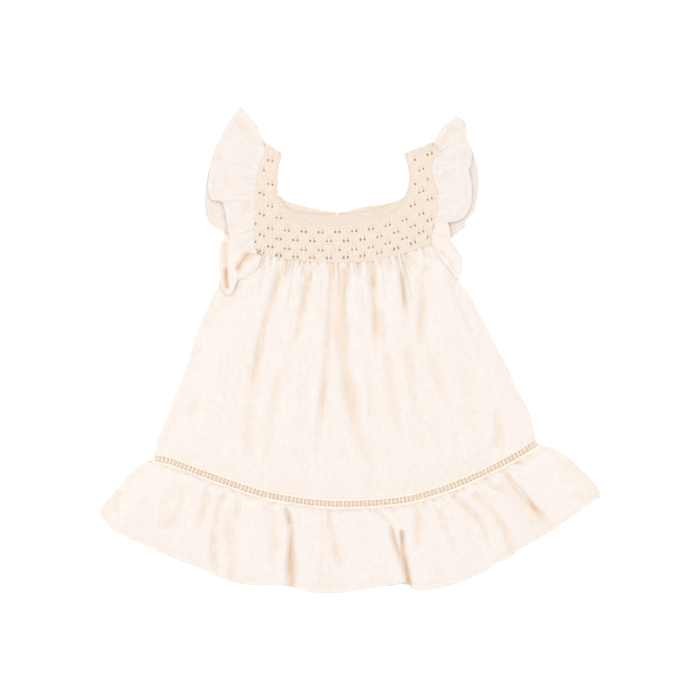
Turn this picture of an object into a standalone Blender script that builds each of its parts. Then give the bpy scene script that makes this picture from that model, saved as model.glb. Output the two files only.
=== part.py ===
"""Toddler dress, laid flat on its back.

It has a knitted yoke, a gathered skirt, a ladder trim, a hem ruffle and flutter sleeves.
The origin is on the surface under the middle of the dress. +X is the wearer's left, +Y runs up to the
neck and +Z is away from the surface. Sizes below are in millimetres, and meshes are made in metres.
Each piece of cloth is a closed wall. The back pieces lie flat at z = 0 and the front pieces lie on them.
"""
import math
from bisect import bisect_right
from collections import namedtuple

import bmesh
import bpy
from mathutils import Vector

MM = 0.001

# ---------------------------------------------------------------- driving dimensions, millimetres
CLOTH = 1.2            # washed cotton cloth
KNIT = 1.6             # knitted yoke
SEAM = 0.35            # gap between pieces that are sewn edge to edge
LAYER = 0.4            # clearance between a layer and what it lies on
ARMHOLE_GAP = 0.6      # gap between the yoke's outer edge and the sleeves
SIDE_LAP = 3.0         # how far the front laps down past the back at the side seams
SIDE_ROLL = 2.6        # width of the rolled edge at the side seams
EDGE_TOP = 1.4         # height of that rolled edge

BACK_TOP = CLOTH
FRONT_FLOOR = BACK_TOP + LAYER + CLOTH          # lowest that the front's upper face may lie
YOKE_FLOOR = KNIT + LAYER                       # underside of the front yoke

SKIRT_PUFF = 7.6       # height of the skirt's upper face between its folds
SKIRT_HEAD = 3.6       # the same at the yoke seam
SKIRT_SIDE_RUN = 45.0  # distance from the side seams over which the skirt rises to that height
SKIRT_HEAD_RUN = 34.0  # the same from the yoke seam
SKIRT_FOOT_RUN = 34.0  # the same from the trim
PLAIN_RIGHT = 13.0     # ungathered stretch of the yoke seam at its right end
PLAIN_LEFT = 8.0
RUFFLE_PUFF = 9.6      # height of the ruffle's upper face between its folds
RUFFLE_LENGTH = 92.0   # from the trim to the hem
RUFFLE_SIDE_RUN = 30.0
RUFFLE_HEAD_RUN = 22.0
HEM_RUN = 30.0         # stretch above the hem over which the ruffle sinks
HEM_DROP = 1.2         # how far it sinks

TRIM_UPPER = 2.6       # solid band above the ladder
TRIM_GAP = 5.7         # height of the ladder's gaps
TRIM_LOWER = 3.4       # solid band below the ladder
TRIM_PITCH = 4.28      # from bar to bar
TRIM_BAR = 2.1         # width of a bar
TRIM_HEIGHT = TRIM_UPPER + TRIM_GAP + TRIM_LOWER

NECK_BAND = 9.5        # width of the ribbed band along the neck
NECK_RIBS = 3
RIB_RISE = 0.9
STRAP_ROLL = [(1.4, 0.5), (2.2, 1.6)]           # the straps' rolled ends: run outwards, drop
STRAP_END_RIGHT = Vector((0.35, 0.94))
STRAP_END_LEFT = Vector((-0.3, 0.95))

SLIT_LENGTH = 36.0     # opening at the centre back
SLIT_WIDTH = 1.0
SLIT_NOTCH = 2.0       # how far its corners open out at the neck edge
BACK_HEM_INSET = 1.6   # the back ruffle's hem lies this far inside the front one's

# ---------------------------------------------------------------- outlines, millimetres (x, y)
YOKE_SEAM = [(-101.6, 104.5), (-88, 99), (-65, 95.5), (-35, 93), (-7, 92.4), (21, 94.2), (50, 100.3),
             (70, 106.5), (86.2, 112.3)]
RIGHT_ARMHOLE = [(-137.4, 78.0), (-128, 86.5), (-116, 95.5), (-102.2, 103.9)]
LEFT_ARMHOLE = [(86.9, 111.8), (95, 101.5), (105, 87.5), (115.1, 73.5)]
RIGHT_SIDE = [(-137.4, 78.0), (-144.8, 63.0), (-152.6, 47.0), (-164.8, 17.5), (-175.2, -16.6),
              (-185.4, -43.3), (-197.6, -73.3), (-206.6, -95.8), (-211.8, -109.9)]
LEFT_SIDE = [(115.1, 73.5), (125.5, 61.5), (141.8, 31.9), (156.6, 2.5), (168.9, -18.8), (175.6, -36.9),
             (186, -54.9), (192.7, -69.7), (196, -83.0), (199.6, -91.5)]
TRIM_LINE = [(-211.8, -116.2), (-202, -117.6), (-192, -120.0), (-181, -124.1), (-170, -128.2),
             (-157, -133.0), (-142, -138.7), (-122, -145.4), (-101, -152.4), (-81, -157.4),
             (-61.5, -160.8), (-37, -164.0), (-12.4, -165.4), (12, -164.8), (37, -163.2),
             (61.5, -160.2), (86, -153.6), (113, -144.4), (143, -131.2), (173, -116.0),
             (195.6, -102.2), (201.6, -98.0)]
RUFFLE_RIGHT = [(-213.6, -122.0), (-221.2, -119.2), (-226.0, -123.2), (-237.2, -133.6),
                (-250.0, -148.2), (-263.6, -163.4), (-269.4, -173.6)]
RUFFLE_LEFT = [(204.4, -103.4), (214.4, -104.3), (231.7, -114.1), (246.7, -127.7), (260.2, -141.1),
               (268.4, -153.6)]
HEM = [(-269.4, -173.6), (-262.4, -184.6), (-247.0, -196.0), (-225, -206.5), (-203.2, -216.2),
       (-178.4, -227.1), (-156.4, -234.8), (-142.5, -242.0), (-124.5, -249.0), (-101.3, -251.8),
       (-76.7, -251.6), (-55.4, -255.5), (-39.4, -259.4), (-12.4, -259.6), (18.4, -255.1), (36.8, -252),
       (50.5, -250.6), (59.5, -247.4), (67.5, -256), (90.5, -255.2), (112.9, -249.8), (127.9, -244),
       (146, -235), (157, -227), (167.1, -224.0), (180.7, -213.5), (203.1, -200.4), (222.7, -187.7),
       (240.7, -175.7), (258, -163), (266.5, -157.8), (268.4, -153.6)]
BACK_NECK = [(-76.0, 165.2), (-69, 159.3), (-59.3, 156.2), (-49.7, 153.2), (-40.1, 151), (-28.6, 148.6),
             (-21, 146.9), (-15.1, 145.9), (-8, 147.8), (0.6, 150.2), (10.4, 152.2), (19.4, 153.7),
             (35.1, 155.4), (43.4, 157.2), (53, 160.6)]
BACK_SLIT_X = -14.2
BACK_ARM_RIGHT = 105.0         # where the back yoke's armholes begin above its seam, as y
BACK_ARM_LEFT = 113.0
BACK_STRAP_RIGHT = 166.0       # where its neck runs into the straps, as y
BACK_STRAP_LEFT = 161.5

# ---------------------------------------------------------------- sections and folds
# A yoke section runs from the neck edge to the outer edge, from one shoulder round to the other.
Section = namedtuple("Section", "neck_x neck_y outer_x outer_y")
YOKE_SECTIONS = [
    Section(-73.4, 207.8, -91.6, 219.6), Section(-74.4, 203.5, -91.8, 211.6),
    Section(-75.9, 197.0, -95.0, 201.8), Section(-76.9, 186.0, -99.6, 188.4),
    Section(-77.4, 173.5, -101.4, 170.7), Section(-76.9, 165.5, -102.3, 148.2),
    Section(-74.6, 160.6, -102.8, 126.8), Section(-71.3, 156.0, -101.6, 104.5),
    Section(-66.4, 150.2, -88.0, 99.0), Section(-53.4, 146.8, -65.0, 95.5),
    Section(-31.5, 144.4, -35.0, 93.0), Section(-10.1, 144.3, -7.0, 92.4),
    Section(12.4, 146.6, 21.0, 94.2), Section(34.0, 152.0, 50.0, 100.3),
    Section(45.0, 156.3, 70.0, 106.5), Section(52.6, 159.9, 86.2, 112.3),
    Section(57.4, 164.2, 88.6, 130.0), Section(60.4, 171.4, 93.0, 149.6),
    Section(61.8, 180.6, 93.0, 171.4), Section(61.9, 189.9, 87.6, 186.6),
    Section(59.8, 199.5, 88.3, 201.2), Section(57.8, 204.6, 96.2, 210.2),
    Section(57.3, 207.6, 87.4, 219.8),
]

# A sleeve section runs from the armhole seam to the hem. Its seam lies beside the yoke's outer edge at
# seam_y, and its heights are those of the upper face. The front layer has a tuck between its upper and
# lower sections.
SleeveSection = namedtuple("SleeveSection", "seam_y hem_x hem_y seam_z mid_z hem_z")
RIGHT_FRONT_UPPER = [
    SleeveSection(213.0, -129.6, 244.9, 3.4, 4.8, 3.4), SleeveSection(196.0, -146.0, 211.0, 3.5, 6.0, 3.4),
    SleeveSection(183.0, -151.4, 187.0, 3.6, 6.4, 3.4), SleeveSection(170.7, -152.4, 170.0, 3.8, 6.2, 3.4),
    SleeveSection(161.5, -149.2, 160.2, 4.2, 6.2, 3.8),
]
RIGHT_FRONT_LOWER = [
    SleeveSection(159.4, -136.8, 157.6, 3.2, 4.2, 3.2), SleeveSection(148.2, -133.8, 145.0, 3.4, 5.6, 3.4),
    SleeveSection(134.0, -131.0, 127.0, 3.4, 6.0, 3.6), SleeveSection(123.0, -127.2, 112.0, 3.6, 6.2, 4.2),
    SleeveSection(114.0, -118.0, 104.9, 4.4, 6.4, 5.6), SleeveSection(106.4, -99.0, 101.7, 4.8, 6.0, 6.0),
]
RIGHT_BACK = [
    SleeveSection(212.0, -132.6, 239.5, 0, 0, 0), SleeveSection(200.0, -145.4, 213.9, 0, 0, 0),
    SleeveSection(183.0, -152.8, 187.5, 0, 0, 0), SleeveSection(165.0, -155.4, 166.0, 0, 0, 0),
    SleeveSection(146.0, -154.6, 144.5, 0, 0, 0), SleeveSection(127.0, -147.2, 131.7, 0, 0, 0),
    SleeveSection(117.0, -134.4, 124.4, 0, 0, 0), SleeveSection(108.5, -122.5, 113.0, 0, 0, 0),
]
RIGHT_SHOULDER = (-92.8, 221.0)
RIGHT_FOLD = SleeveSection(221.0, -118.4, 260.0, 3.2, 4.2, 3.4)

LEFT_FRONT_UPPER = [
    SleeveSection(216.8, 121.8, 242.3, 3.4, 4.8, 3.4), SleeveSection(210.2, 125.0, 227.0, 3.5, 5.8, 3.4),
    SleeveSection(203.0, 129.8, 211.0, 3.7, 6.4, 3.4), SleeveSection(194.8, 128.6, 197.4, 4.2, 6.2, 3.8),
]
LEFT_FRONT_LOWER = [
    SleeveSection(191.6, 126.0, 192.0, 3.2, 4.4, 3.2), SleeveSection(184.0, 127.4, 186.4, 3.3, 5.6, 3.4),
    SleeveSection(171.4, 129.9, 176.5, 3.4, 6.4, 3.4), SleeveSection(158.0, 130.0, 161.0, 3.4, 6.8, 3.6),
    SleeveSection(149.0, 127.4, 150.4, 3.4, 6.6, 3.8), SleeveSection(143.4, 119.6, 139.6, 3.5, 6.0, 4.2),
    SleeveSection(139.6, 107.5, 136.2, 3.6, 5.2, 4.4), SleeveSection(137.2, 97.6, 136.0, 3.8, 4.4, 4.2),
]
LEFT_BACK = [
    SleeveSection(216.8, 123.2, 242.1, 0, 0, 0), SleeveSection(210.2, 125.4, 225.8, 0, 0, 0),
    SleeveSection(201.2, 130.8, 212.2, 0, 0, 0), SleeveSection(189.0, 135.4, 196.0, 0, 0, 0),
    SleeveSection(172.0, 136.6, 181.1, 0, 0, 0), SleeveSection(160.0, 135.5, 161.7, 0, 0, 0),
    SleeveSection(149.6, 132.2, 148.0, 0, 0, 0), SleeveSection(139.0, 124.0, 137.6, 0, 0, 0),
    SleeveSection(130.0, 121.2, 130.2, 0, 0, 0), SleeveSection(121.0, 104.5, 116.5, 0, 0, 0),
]
LEFT_SHOULDER = (88.6, 222.2)
LEFT_FOLD = SleeveSection(222.2, 115.1, 250.9, 3.2, 4.2, 3.4)
SHOULDER_BOW = 3.2     # how far the sleeves' folded top edge bows out

# A frill section runs from the armhole to the hem of the stretch that comes out under the arm.
Flap = namedtuple("Flap", "seam_x seam_y hem_x hem_y seam_z mid_z hem_z")
RIGHT_FRILL = [
    Flap(-97.4, 99.8, -95.6, 98.6, 4.8, 5.0, 5.0), Flap(-101.0, 100.2, -98.3, 88.2, 4.8, 5.6, 5.2),
    Flap(-105.4, 100.8, -106.4, 79.8, 4.8, 6.0, 5.4), Flap(-109.6, 101.4, -113.8, 75.6, 4.8, 6.2, 5.4),
    Flap(-112.8, 102.0, -119.6, 74.2, 4.7, 5.4, 5.2), Flap(-116.2, 103.2, -121.8, 69.8, 4.8, 6.8, 5.4),
    Flap(-118.8, 104.2, -124.2, 64.0, 4.8, 8.0, 6.6), Flap(-121.6, 105.4, -127.4, 58.8, 4.8, 8.0, 6.4),
    Flap(-124.6, 106.8, -131.0, 57.2, 4.8, 6.8, 6.0), Flap(-127.8, 110.0, -135.0, 60.2, 4.8, 7.0, 6.0),
    Flap(-130.0, 113.6, -138.2, 69.6, 4.8, 7.6, 6.0), Flap(-131.8, 116.6, -140.2, 89.2, 4.8, 6.8, 5.4),
    Flap(-133.2, 119.4, -140.0, 106.2, 4.7, 5.6, 5.0), Flap(-134.4, 121.6, -135.6, 121.0, 4.7, 4.8, 4.7),
]
LEFT_FRILL = [
    Flap(89.8, 130.8, 103.4, 133.4, 4.8, 5.8, 4.9), Flap(88.6, 125.0, 106.6, 127.6, 4.8, 7.2, 5.0),
    Flap(88.6, 114.6, 106.8, 117.2, 4.8, 7.6, 5.0), Flap(93.2, 107.0, 112.6, 110.6, 4.9, 7.6, 5.0),
    Flap(99.0, 99.6, 118.6, 102.2, 4.9, 7.8, 5.0), Flap(105.6, 92.0, 120.6, 93.4, 4.9, 7.8, 5.0),
    Flap(111.2, 84.2, 119.8, 84.2, 4.9, 6.8, 4.9), Flap(114.4, 77.4, 116.4, 75.4, 4.8, 5.2, 4.8),
]

# A fold is a trough along a path. Its spread is its half-width on the wearer's right and left of the path,
# and each fade is the share of its length over which it dies out at that end.
Fold = namedtuple("Fold", "depth spread_right spread_left fade_head fade_foot path")
SKIRT_FOLDS = [
    Fold(4.6, 5.0, 7, 0, 0.35, [(-73.8, 89.3), (-79.0, 72.2), (-87.7, 40.1), (-95.2, 10.2),
                                (-102.2, -24.1), (-107.5, -54)]),
    Fold(2.8, 11, 12, 0.3, 0.3, [(-95, 15.5), (-101, -16.6), (-105.3, -54), (-109, -86), (-107.5, -113),
                                 (-99, -134)]),
    Fold(4.4, 5.0, 7, 0, 0.3, [(-42.2, 93.6), (-44.4, 78.6), (-48, 61.5), (-51.8, 40.1), (-57.2, 15.5),
                               (-63.6, -2.7)]),
    Fold(2.2, 8, 8, 0.3, 0.4, [(-57.2, 15.5), (-66.8, -13.4), (-76.5, -34.8), (-82.9, -56.2),
                               (-87.2, -91.5), (-90.4, -118.2)]),
    Fold(4.2, 5.0, 6, 0, 0.35, [(-16.5, 87.2), (-20.3, 68.5), (-21.9, 47.6), (-23.5, 10.2), (-28.8, -43.3),
                                (-34.7, -107.5)]),
    Fold(4.6, 7.0, 8, 0.02, 0.4, [(-10.6, 89.3), (-9, 63.7), (-10.1, 31.6), (-9.6, 4.8), (-4.8, -30.5),
                                  (0.6, -54), (4.9, -80.8), (12.4, -102.2), (25.2, -123.6)]),
    Fold(2.2, 4, 5, 0.05, 0.5, [(-2.1, 89.3), (-1.6, 74.4), (-4.8, 61.5)]),
    Fold(4.8, 4.6, 7, 0, 0.25, [(23.6, 91.5), (24.3, 63.7), (26.3, 33.7), (26.8, 4.8), (27.3, -16.6)]),
    Fold(2.6, 7, 8, 0.3, 0.4, [(32.2, 42), (36, 16), (40.2, -11.2), (43.4, -38), (46.6, -59.4), (52, -80.8)]),
    Fold(4.0, 4.2, 6, 0.1, 0.3, [(54.6, 91.5), (57.8, 55.1), (60, 33.7), (60.5, 20)]),
    Fold(2.2, 4, 5, 0.02, 0.5, [(57.3, 95.8), (61.6, 87.2), (68, 75.4)]),
    Fold(3.4, 5.6, 8, 0.05, 0.2, [(79.2, 91.5), (76, 63.7), (76.5, 46.5), (73.9, 20.9), (72.3, 4.8),
                                  (73.4, -13.4)]),
    Fold(2.1, 7, 8, 0.3, 0.4, [(78.7, -0.5), (89.9, -17.7), (101.2, -51.9), (108.7, -70.1)]),
    Fold(2.0, 7, 7, 0.15, 0.4, [(95.8, 89.3), (108.7, 65.8), (121.5, 35.8), (134.3, 8), (149.3, -21.9)]),
    Fold(2.8, 8, 9, 0.3, 0.2, [(151.5, -59.4), (156.8, -77.6), (159, -96.8), (151.5, -109.7)]),
    Fold(1.8, 9, 9, 0.3, 0.4, [(-154.6, -38), (-170.6, -64.7), (-180.2, -75.4)]),
    Fold(1.7, 12, 12, 0.3, 0.4, [(-121, 66), (-138, 20), (-152, -30)]),
]
# Where an underarm frill lies on the skirt, it presses it down.
SKIRT_PRESSED = [
    Fold(8.0, 13, 13, 0.0, 0.0, [(-128, 66), (-116, 78), (-98, 95)]),
    Fold(8.0, 13, 13, 0.0, 0.0, [(116, 80), (104, 94), (88, 108)]),
]
RUFFLE_FOLDS = [
    Fold(2.8, 7, 8, 0.1, 0.4, [(-177, -137.5), (-181.3, -161), (-191, -182.4), (-206, -195.3)]),
    Fold(3.0, 6, 7, 0.1, 0.5, [(-153.5, -143.9), (-153, -155.7), (-159.9, -182.4), (-163.1, -200)]),
    Fold(4.0, 6, 8, 0.1, 0.2, [(-131, -148.3), (-137.5, -158.9), (-142.8, -182.4), (-146, -209.2),
                               (-142.8, -241)]),
    Fold(4.4, 8, 9, 0.2, 0, [(-130, -166.4), (-127.8, -203.8), (-126.7, -247)]),
    Fold(3.4, 8, 8, 0.1, 0.3, [(-86.1, -161), (-81.8, -182.4), (-80.8, -209.2), (-86.1, -236)]),
    Fold(6.0, 5, 6, 0.05, 0, [(-70, -163), (-66.8, -176), (-63.6, -193.1), (-64.7, -230.6), (-64.7, -252)]),
    Fold(4.4, 9, 10, 0.6, 0, [(-63.6, -205), (-62.6, -252)]),
    Fold(3.3, 5, 7, 0.05, 0.4, [(-24, -169.6), (-18.1, -204.9), (-10.1, -239.1)]),
    Fold(4.8, 5, 5, 0.3, 0, [(36.9, -175), (42.9, -183.8), (45.2, -199.6), (47.7, -207), (52.2, -218.8),
                             (57.3, -235.9), (61.6, -249.3)]),
    Fold(6.0, 4, 4, 0.15, 0.0, [(54.7, -184), (55.2, -201.3), (56.6, -217), (60.5, -238.1), (62.6, -257)]),
    Fold(2.7, 5, 6, 0.05, 0.5, [(71.2, -164.2), (72.3, -180.3), (71.2, -212.4), (69.1, -227.4)]),
    Fold(2.8, 6, 7, 0.05, 0.4, [(93.7, -169.6), (108, -199.6), (116, -227.4)]),
    Fold(3.4, 6, 7, 0.05, 0.4, [(105.4, -154.6), (121.5, -167.5), (138.6, -186.7), (148.2, -221)]),
    Fold(3.4, 7, 7, 0.05, 0.2, [(130.1, -151.4), (142.9, -164.2), (160, -184.6), (169.6, -209.2),
                               (172.8, -225)]),
    Fold(5.6, 9, 7, 0.05, 0.1, [(161.1, -126.8), (165.4, -142.8), (179.3, -162.1), (195.3, -180.3),
                                (209.2, -191)]),
    Fold(2.4, 6, 7, 0.2, 0.2, [(-247.6, -148.2), (-248.2, -161), (-249.8, -177)]),
]
RIGHT_SLEEVE_FOLDS = [
    Fold(1.6, 5, 6, 0.1, 0.2, [(-99.5, 214.5), (-109, 230), (-120, 247)]),
    Fold(1.4, 4, 5, 0.3, 0.3, [(-128, 213.5), (-117, 198), (-104, 186)]),
    Fold(1.0, 5, 5, 0.3, 0.3, [(-136, 200), (-133, 182), (-126, 170)]),
]
LEFT_SLEEVE_FOLDS = [
    Fold(1.8, 6, 6, 0.1, 0.2, [(92, 214), (101, 224), (115, 240)]),
    Fold(1.6, 4, 4, 0.2, 0.2, [(95.8, 181.4), (103.3, 188.9), (113, 191)]),
]
RIGHT_FRILL_FOLDS = [
    Fold(2.5, 2.6, 3.2, 0.1, 0.2, [(-112.6, 103), (-118, 94), (-120.5, 84)]),
    Fold(3.3, 2.6, 2.6, 0.4, 0.1, [(-130.4, 98), (-131.6, 80), (-131.2, 64)]),
]

# Small gathers along a seam: pitch of the gathers, how high they stand and how far they run.
Gathers = namedtuple("Gathers", "pitch rise reach")
YOKE_GATHERS = Gathers(6.4, 0.5, 26.0)
RUFFLE_GATHERS = Gathers(12.5, 0.55, 18.0)

# Height of the trim's upper face along it, at even steps from the wearer's right to left.
TRIM_LIFT = [3.0, 3.6, 3.4, 4.2, 3.6, 4.3, 3.5, 4.2, 3.8, 4.4, 3.5, 4.2, 3.6, 4.3, 3.5, 3.6, 3.0]

# ---------------------------------------------------------------- mesh density
SKIRT_COLUMNS = 76
SKIRT_HEAD_COLUMNS = 136
SKIRT_HEAD_SHARES = [0.0, 0.03, 0.075]
SKIRT_SHARES = [0.14, 0.22, 0.31, 0.41, 0.51, 0.61, 0.71, 0.81, 0.91, 1.0]
RUFFLE_COLUMNS = 84
RUFFLE_HEAD_COLUMNS = 124
RUFFLE_HEAD_SHARES = [0.0, 0.1]
RUFFLE_SHARES = [0.24, 0.4, 0.56, 0.72, 0.87, 1.0]
SLEEVE_COLUMNS = 9
SLEEVE_STEP = 7.5      # spacing of the sleeves' rows along their hem
FRILL_COLUMNS = 8
YOKE_ROWS = 42
FOLD_ANGLES = [-90, -45, 0, 45, 90]


# ---------------------------------------------------------------- curves and surfaces
def spline(points):
    """Smooth curve through the points, as a function of the share of its length, 0 to 1."""
    knots = [Vector(p) for p in points]
    reach = [0.0]
    for a, b in zip(knots, knots[1:]):
        reach.append(reach[-1] + (b - a).length)

    def slope(i):
        low = max(i - 1, 0)
        high = min(i + 1, len(knots) - 1)
        return (knots[high] - knots[low]) / (reach[high] - reach[low])

    def at(share):
        along = min(max(share, 0.0), 1.0) * reach[-1]
        i = min(max(bisect_right(reach, along) - 1, 0), len(knots) - 2)
        span = reach[i + 1] - reach[i]
        t = (along - reach[i]) / span
        rise = t * t * (3 - 2 * t)
        start = t * (1 - t) ** 2 * span
        finish = t * t * (t - 1) * span
        return knots[i] * (1 - rise) + knots[i + 1] * rise + slope(i) * start + slope(i + 1) * finish

    at.length = reach[-1]
    return at


def joined(*curves):
    """Curves end to end as one, as a function of the share of the whole length."""
    total = sum(c.length for c in curves)

    def at(share):
        along = min(max(share, 0.0), 1.0) * total
        for curve in curves[:-1]:
            if along <= curve.length:
                return curve(along / curve.length)
            along -= curve.length
        return curves[-1](along / curves[-1].length)

    at.length = total
    return at


def moved(curve, dx, dy):
    """The same curve, moved."""
    def at(share):
        return curve(share) + Vector((dx, dy))

    at.length = curve.length
    return at


def beside(curve, distance):
    """The curve's parallel at a distance, towards +Y where the distance is positive."""
    def at(share):
        step = 0.004
        along = curve(min(share + step, 1.0)) - curve(max(share - step, 0.0))
        return curve(share) + Vector((-along.y, along.x)).normalized() * distance

    at.length = curve.length
    return at


def patch(head, foot, right, left):
    """Surface between four edges: u runs along head and foot, v from head to foot."""
    def at(u, v):
        across = head(u).lerp(foot(u), v) + right(v).lerp(left(v), u)
        corners = head(0).lerp(head(1), u).lerp(foot(0).lerp(foot(1), u), v)
        return across - corners

    return at


def smooth(value):
    """0 below 0, 1 above 1, and a soft step between."""
    t = min(max(value, 0.0), 1.0)
    return t * t * (3 - 2 * t)


def fold_depth(fold, point):
    """How deep a fold lies at a point."""
    path = [Vector(p) for p in fold.path]
    total = sum((b - a).length for a, b in zip(path, path[1:]))
    best = None
    walked = 0.0
    for a, b in zip(path, path[1:]):
        run = b - a
        t = min(max((point - a).dot(run) / run.length_squared, 0.0), 1.0)
        away = point - (a + run * t)
        if best is None or away.length < best[0]:
            side = run.x * away.y - run.y * away.x
            best = (away.length, side, (walked + run.length * t) / total)
        walked += run.length
    distance, side, share = best
    spread = fold.spread_left if side > 0 else fold.spread_right
    fade = 1.0
    if fold.fade_head > 0:
        fade *= smooth(share / fold.fade_head)
    if fold.fade_foot > 0:
        fade *= smooth((1 - share) / fold.fade_foot)
    return fold.depth * fade * math.exp(-(distance / spread) ** 2)


def folded(height, floor, folds, point):
    """A height lowered by the folds at a point, flattening out softly onto the floor."""
    depth = sum(fold_depth(fold, point) for fold in folds)
    room = height - floor
    if room <= 0 or depth <= 0:
        return max(height, floor)
    return floor + room * math.exp(-depth / room)


def gather(gathers, along, distance):
    """Height of the small gathers at a place along the seam and a distance from it."""
    count = along / gathers.pitch
    which = math.floor(count + 0.5)
    strength = 0.7 + 0.3 * math.sin(2.4 * which + 0.6)
    run = gathers.reach * (0.65 + 0.35 * math.sin(1.7 * which + 2.0))
    return gathers.rise * strength * math.cos(2 * math.pi * count) * (1 - smooth(distance / run))


# ---------------------------------------------------------------- solids
def material(name, colour, roughness):
    made = bpy.data.materials.new(name)
    made.use_nodes = True
    shader = made.node_tree.nodes["Principled BSDF"]
    shader.inputs["Base Color"].default_value = (*colour, 1.0)
    shader.inputs["Roughness"].default_value = roughness
    shader.inputs["Metallic"].default_value = 0.0
    return made


def finish(name, bm, finish_material):
    """Turn a bmesh in millimetres into a smooth-shaded object in metres."""
    bmesh.ops.recalc_face_normals(bm, faces=bm.faces)
    bmesh.ops.scale(bm, vec=(MM, MM, MM), verts=bm.verts)
    mesh = bpy.data.meshes.new(name)
    bm.to_mesh(mesh)
    bm.free()
    mesh.shade_smooth()
    mesh.set_sharp_from_angle(angle=math.radians(50))
    mesh.materials.append(finish_material)
    made = bpy.data.objects.new(name, mesh)
    bpy.context.scene.collection.objects.link(made)
    return made


def strip_faces(shares):
    """Triangles between neighbouring rows, whose counts may differ: each step takes the nearer next point."""
    faces = []
    for row, (upper, lower) in enumerate(zip(shares, shares[1:])):
        i = j = 0
        while i < len(upper) - 1 or j < len(lower) - 1:
            next_upper = upper[i + 1] if i < len(upper) - 1 else 2.0
            next_lower = lower[j + 1] if j < len(lower) - 1 else 2.0
            if next_upper <= next_lower:
                faces.append(((row, i), (row + 1, j), (row, i + 1)))
                i += 1
            else:
                faces.append(((row, i), (row + 1, j), (row + 1, j + 1)))
                j += 1
    return faces


def wall(name, outer, inner, shares, finish_material):
    """Closed wall between two faces, each given as rows of points that match one to one."""
    bm = bmesh.new()
    faces = strip_faces(shares)
    sides = []
    for rows in (outer, inner):
        verts = [[bm.verts.new(p) for p in row] for row in rows]
        for corners in faces:
            bm.faces.new([verts[row][i] for row, i in corners])
        rim = verts[0] + [row[-1] for row in verts[1:]] + verts[-1][-2::-1]
        rim += [row[0] for row in verts[-2:0:-1]]
        sides.append(rim)
    loop = len(sides[0])
    for i in range(loop):
        j = (i + 1) % loop
        bm.faces.new((sides[0][i], sides[0][j], sides[1][j], sides[1][i]))
    return finish(name, bm, finish_material)


def plate(name, outline, thickness, finish_material):
    """Flat piece of cloth lying on the surface."""
    bm = bmesh.new()
    face = bm.faces.new([bm.verts.new((x, y, 0.0)) for x, y in outline])
    raised = bmesh.ops.extrude_face_region(bm, geom=[face])
    top = [v for v in raised["geom"] if isinstance(v, bmesh.types.BMVert)]
    bmesh.ops.translate(bm, vec=(0, 0, thickness), verts=top)
    bmesh.ops.triangulate(bm, faces=bm.faces)
    return finish(name, bm, finish_material)


def even(count):
    return [i / (count - 1) for i in range(count)]


def with_rolled_ends(count, length):
    """Even shares along a length, with one more at each end where the rolled edge begins."""
    roll = SIDE_ROLL / length
    return [0.0] + [roll + (1 - 2 * roll) * share for share in even(count - 2)] + [1.0]


def draped(name, surface, height, shares, row_shares, thickness, finish_material):
    """Wall that lies under a height given over a patch, rolled down to the surface at its two sides."""
    step = 0.002
    outer = []
    inner = []
    for v, row in zip(row_shares, shares):
        outer_row = []
        inner_row = []
        for u in row:
            p = surface(u, v)
            if u in (0.0, 1.0):
                outer_row.append((p.x, p.y, EDGE_TOP))
                inner_row.append((p.x, p.y, 0.0))
                continue
            z = height(u, v)
            u_low, u_high = max(u - step, 0.004), min(u + step, 0.996)
            v_low, v_high = max(v - step, 0.0), min(v + step, 1.0)
            across = surface(u_high, v) - surface(u_low, v)
            down = surface(u, v_high) - surface(u, v_low)
            tilt = Vector((*across, height(u_high, v) - height(u_low, v))).cross(
                Vector((*down, height(u, v_high) - height(u, v_low)))).normalized()
            drop = thickness / max(abs(tilt.z), 0.6)
            outer_row.append((p.x, p.y, z))
            inner_row.append((p.x, p.y, max(z - drop, BACK_TOP + LAYER)))
        outer.append(outer_row)
        inner.append(inner_row)
    return wall(name, outer, inner, shares, finish_material)


# ---------------------------------------------------------------- shared edges
yoke_seam = spline(YOKE_SEAM)
trim_line = spline(TRIM_LINE)
trim_head = beside(trim_line, TRIM_HEIGHT / 2)
trim_foot = beside(trim_line, -TRIM_HEIGHT / 2)
trim_lift = spline([(i, lift) for i, lift in enumerate(TRIM_LIFT)])
skirt_head = joined(spline(RIGHT_ARMHOLE), moved(yoke_seam, 0, -SEAM), spline(LEFT_ARMHOLE))
skirt_foot = beside(trim_line, TRIM_HEIGHT / 2 + SEAM)
ruffle_head = beside(trim_line, -TRIM_HEIGHT / 2 - SEAM)


def side_curve(points, start, finish):
    """Side edge through the table's inner points, between the exact ends of its neighbours."""
    return spline([tuple(start)] + points[1:-1] + [tuple(finish)])


def lift_at(share):
    return trim_lift(share).y


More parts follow.
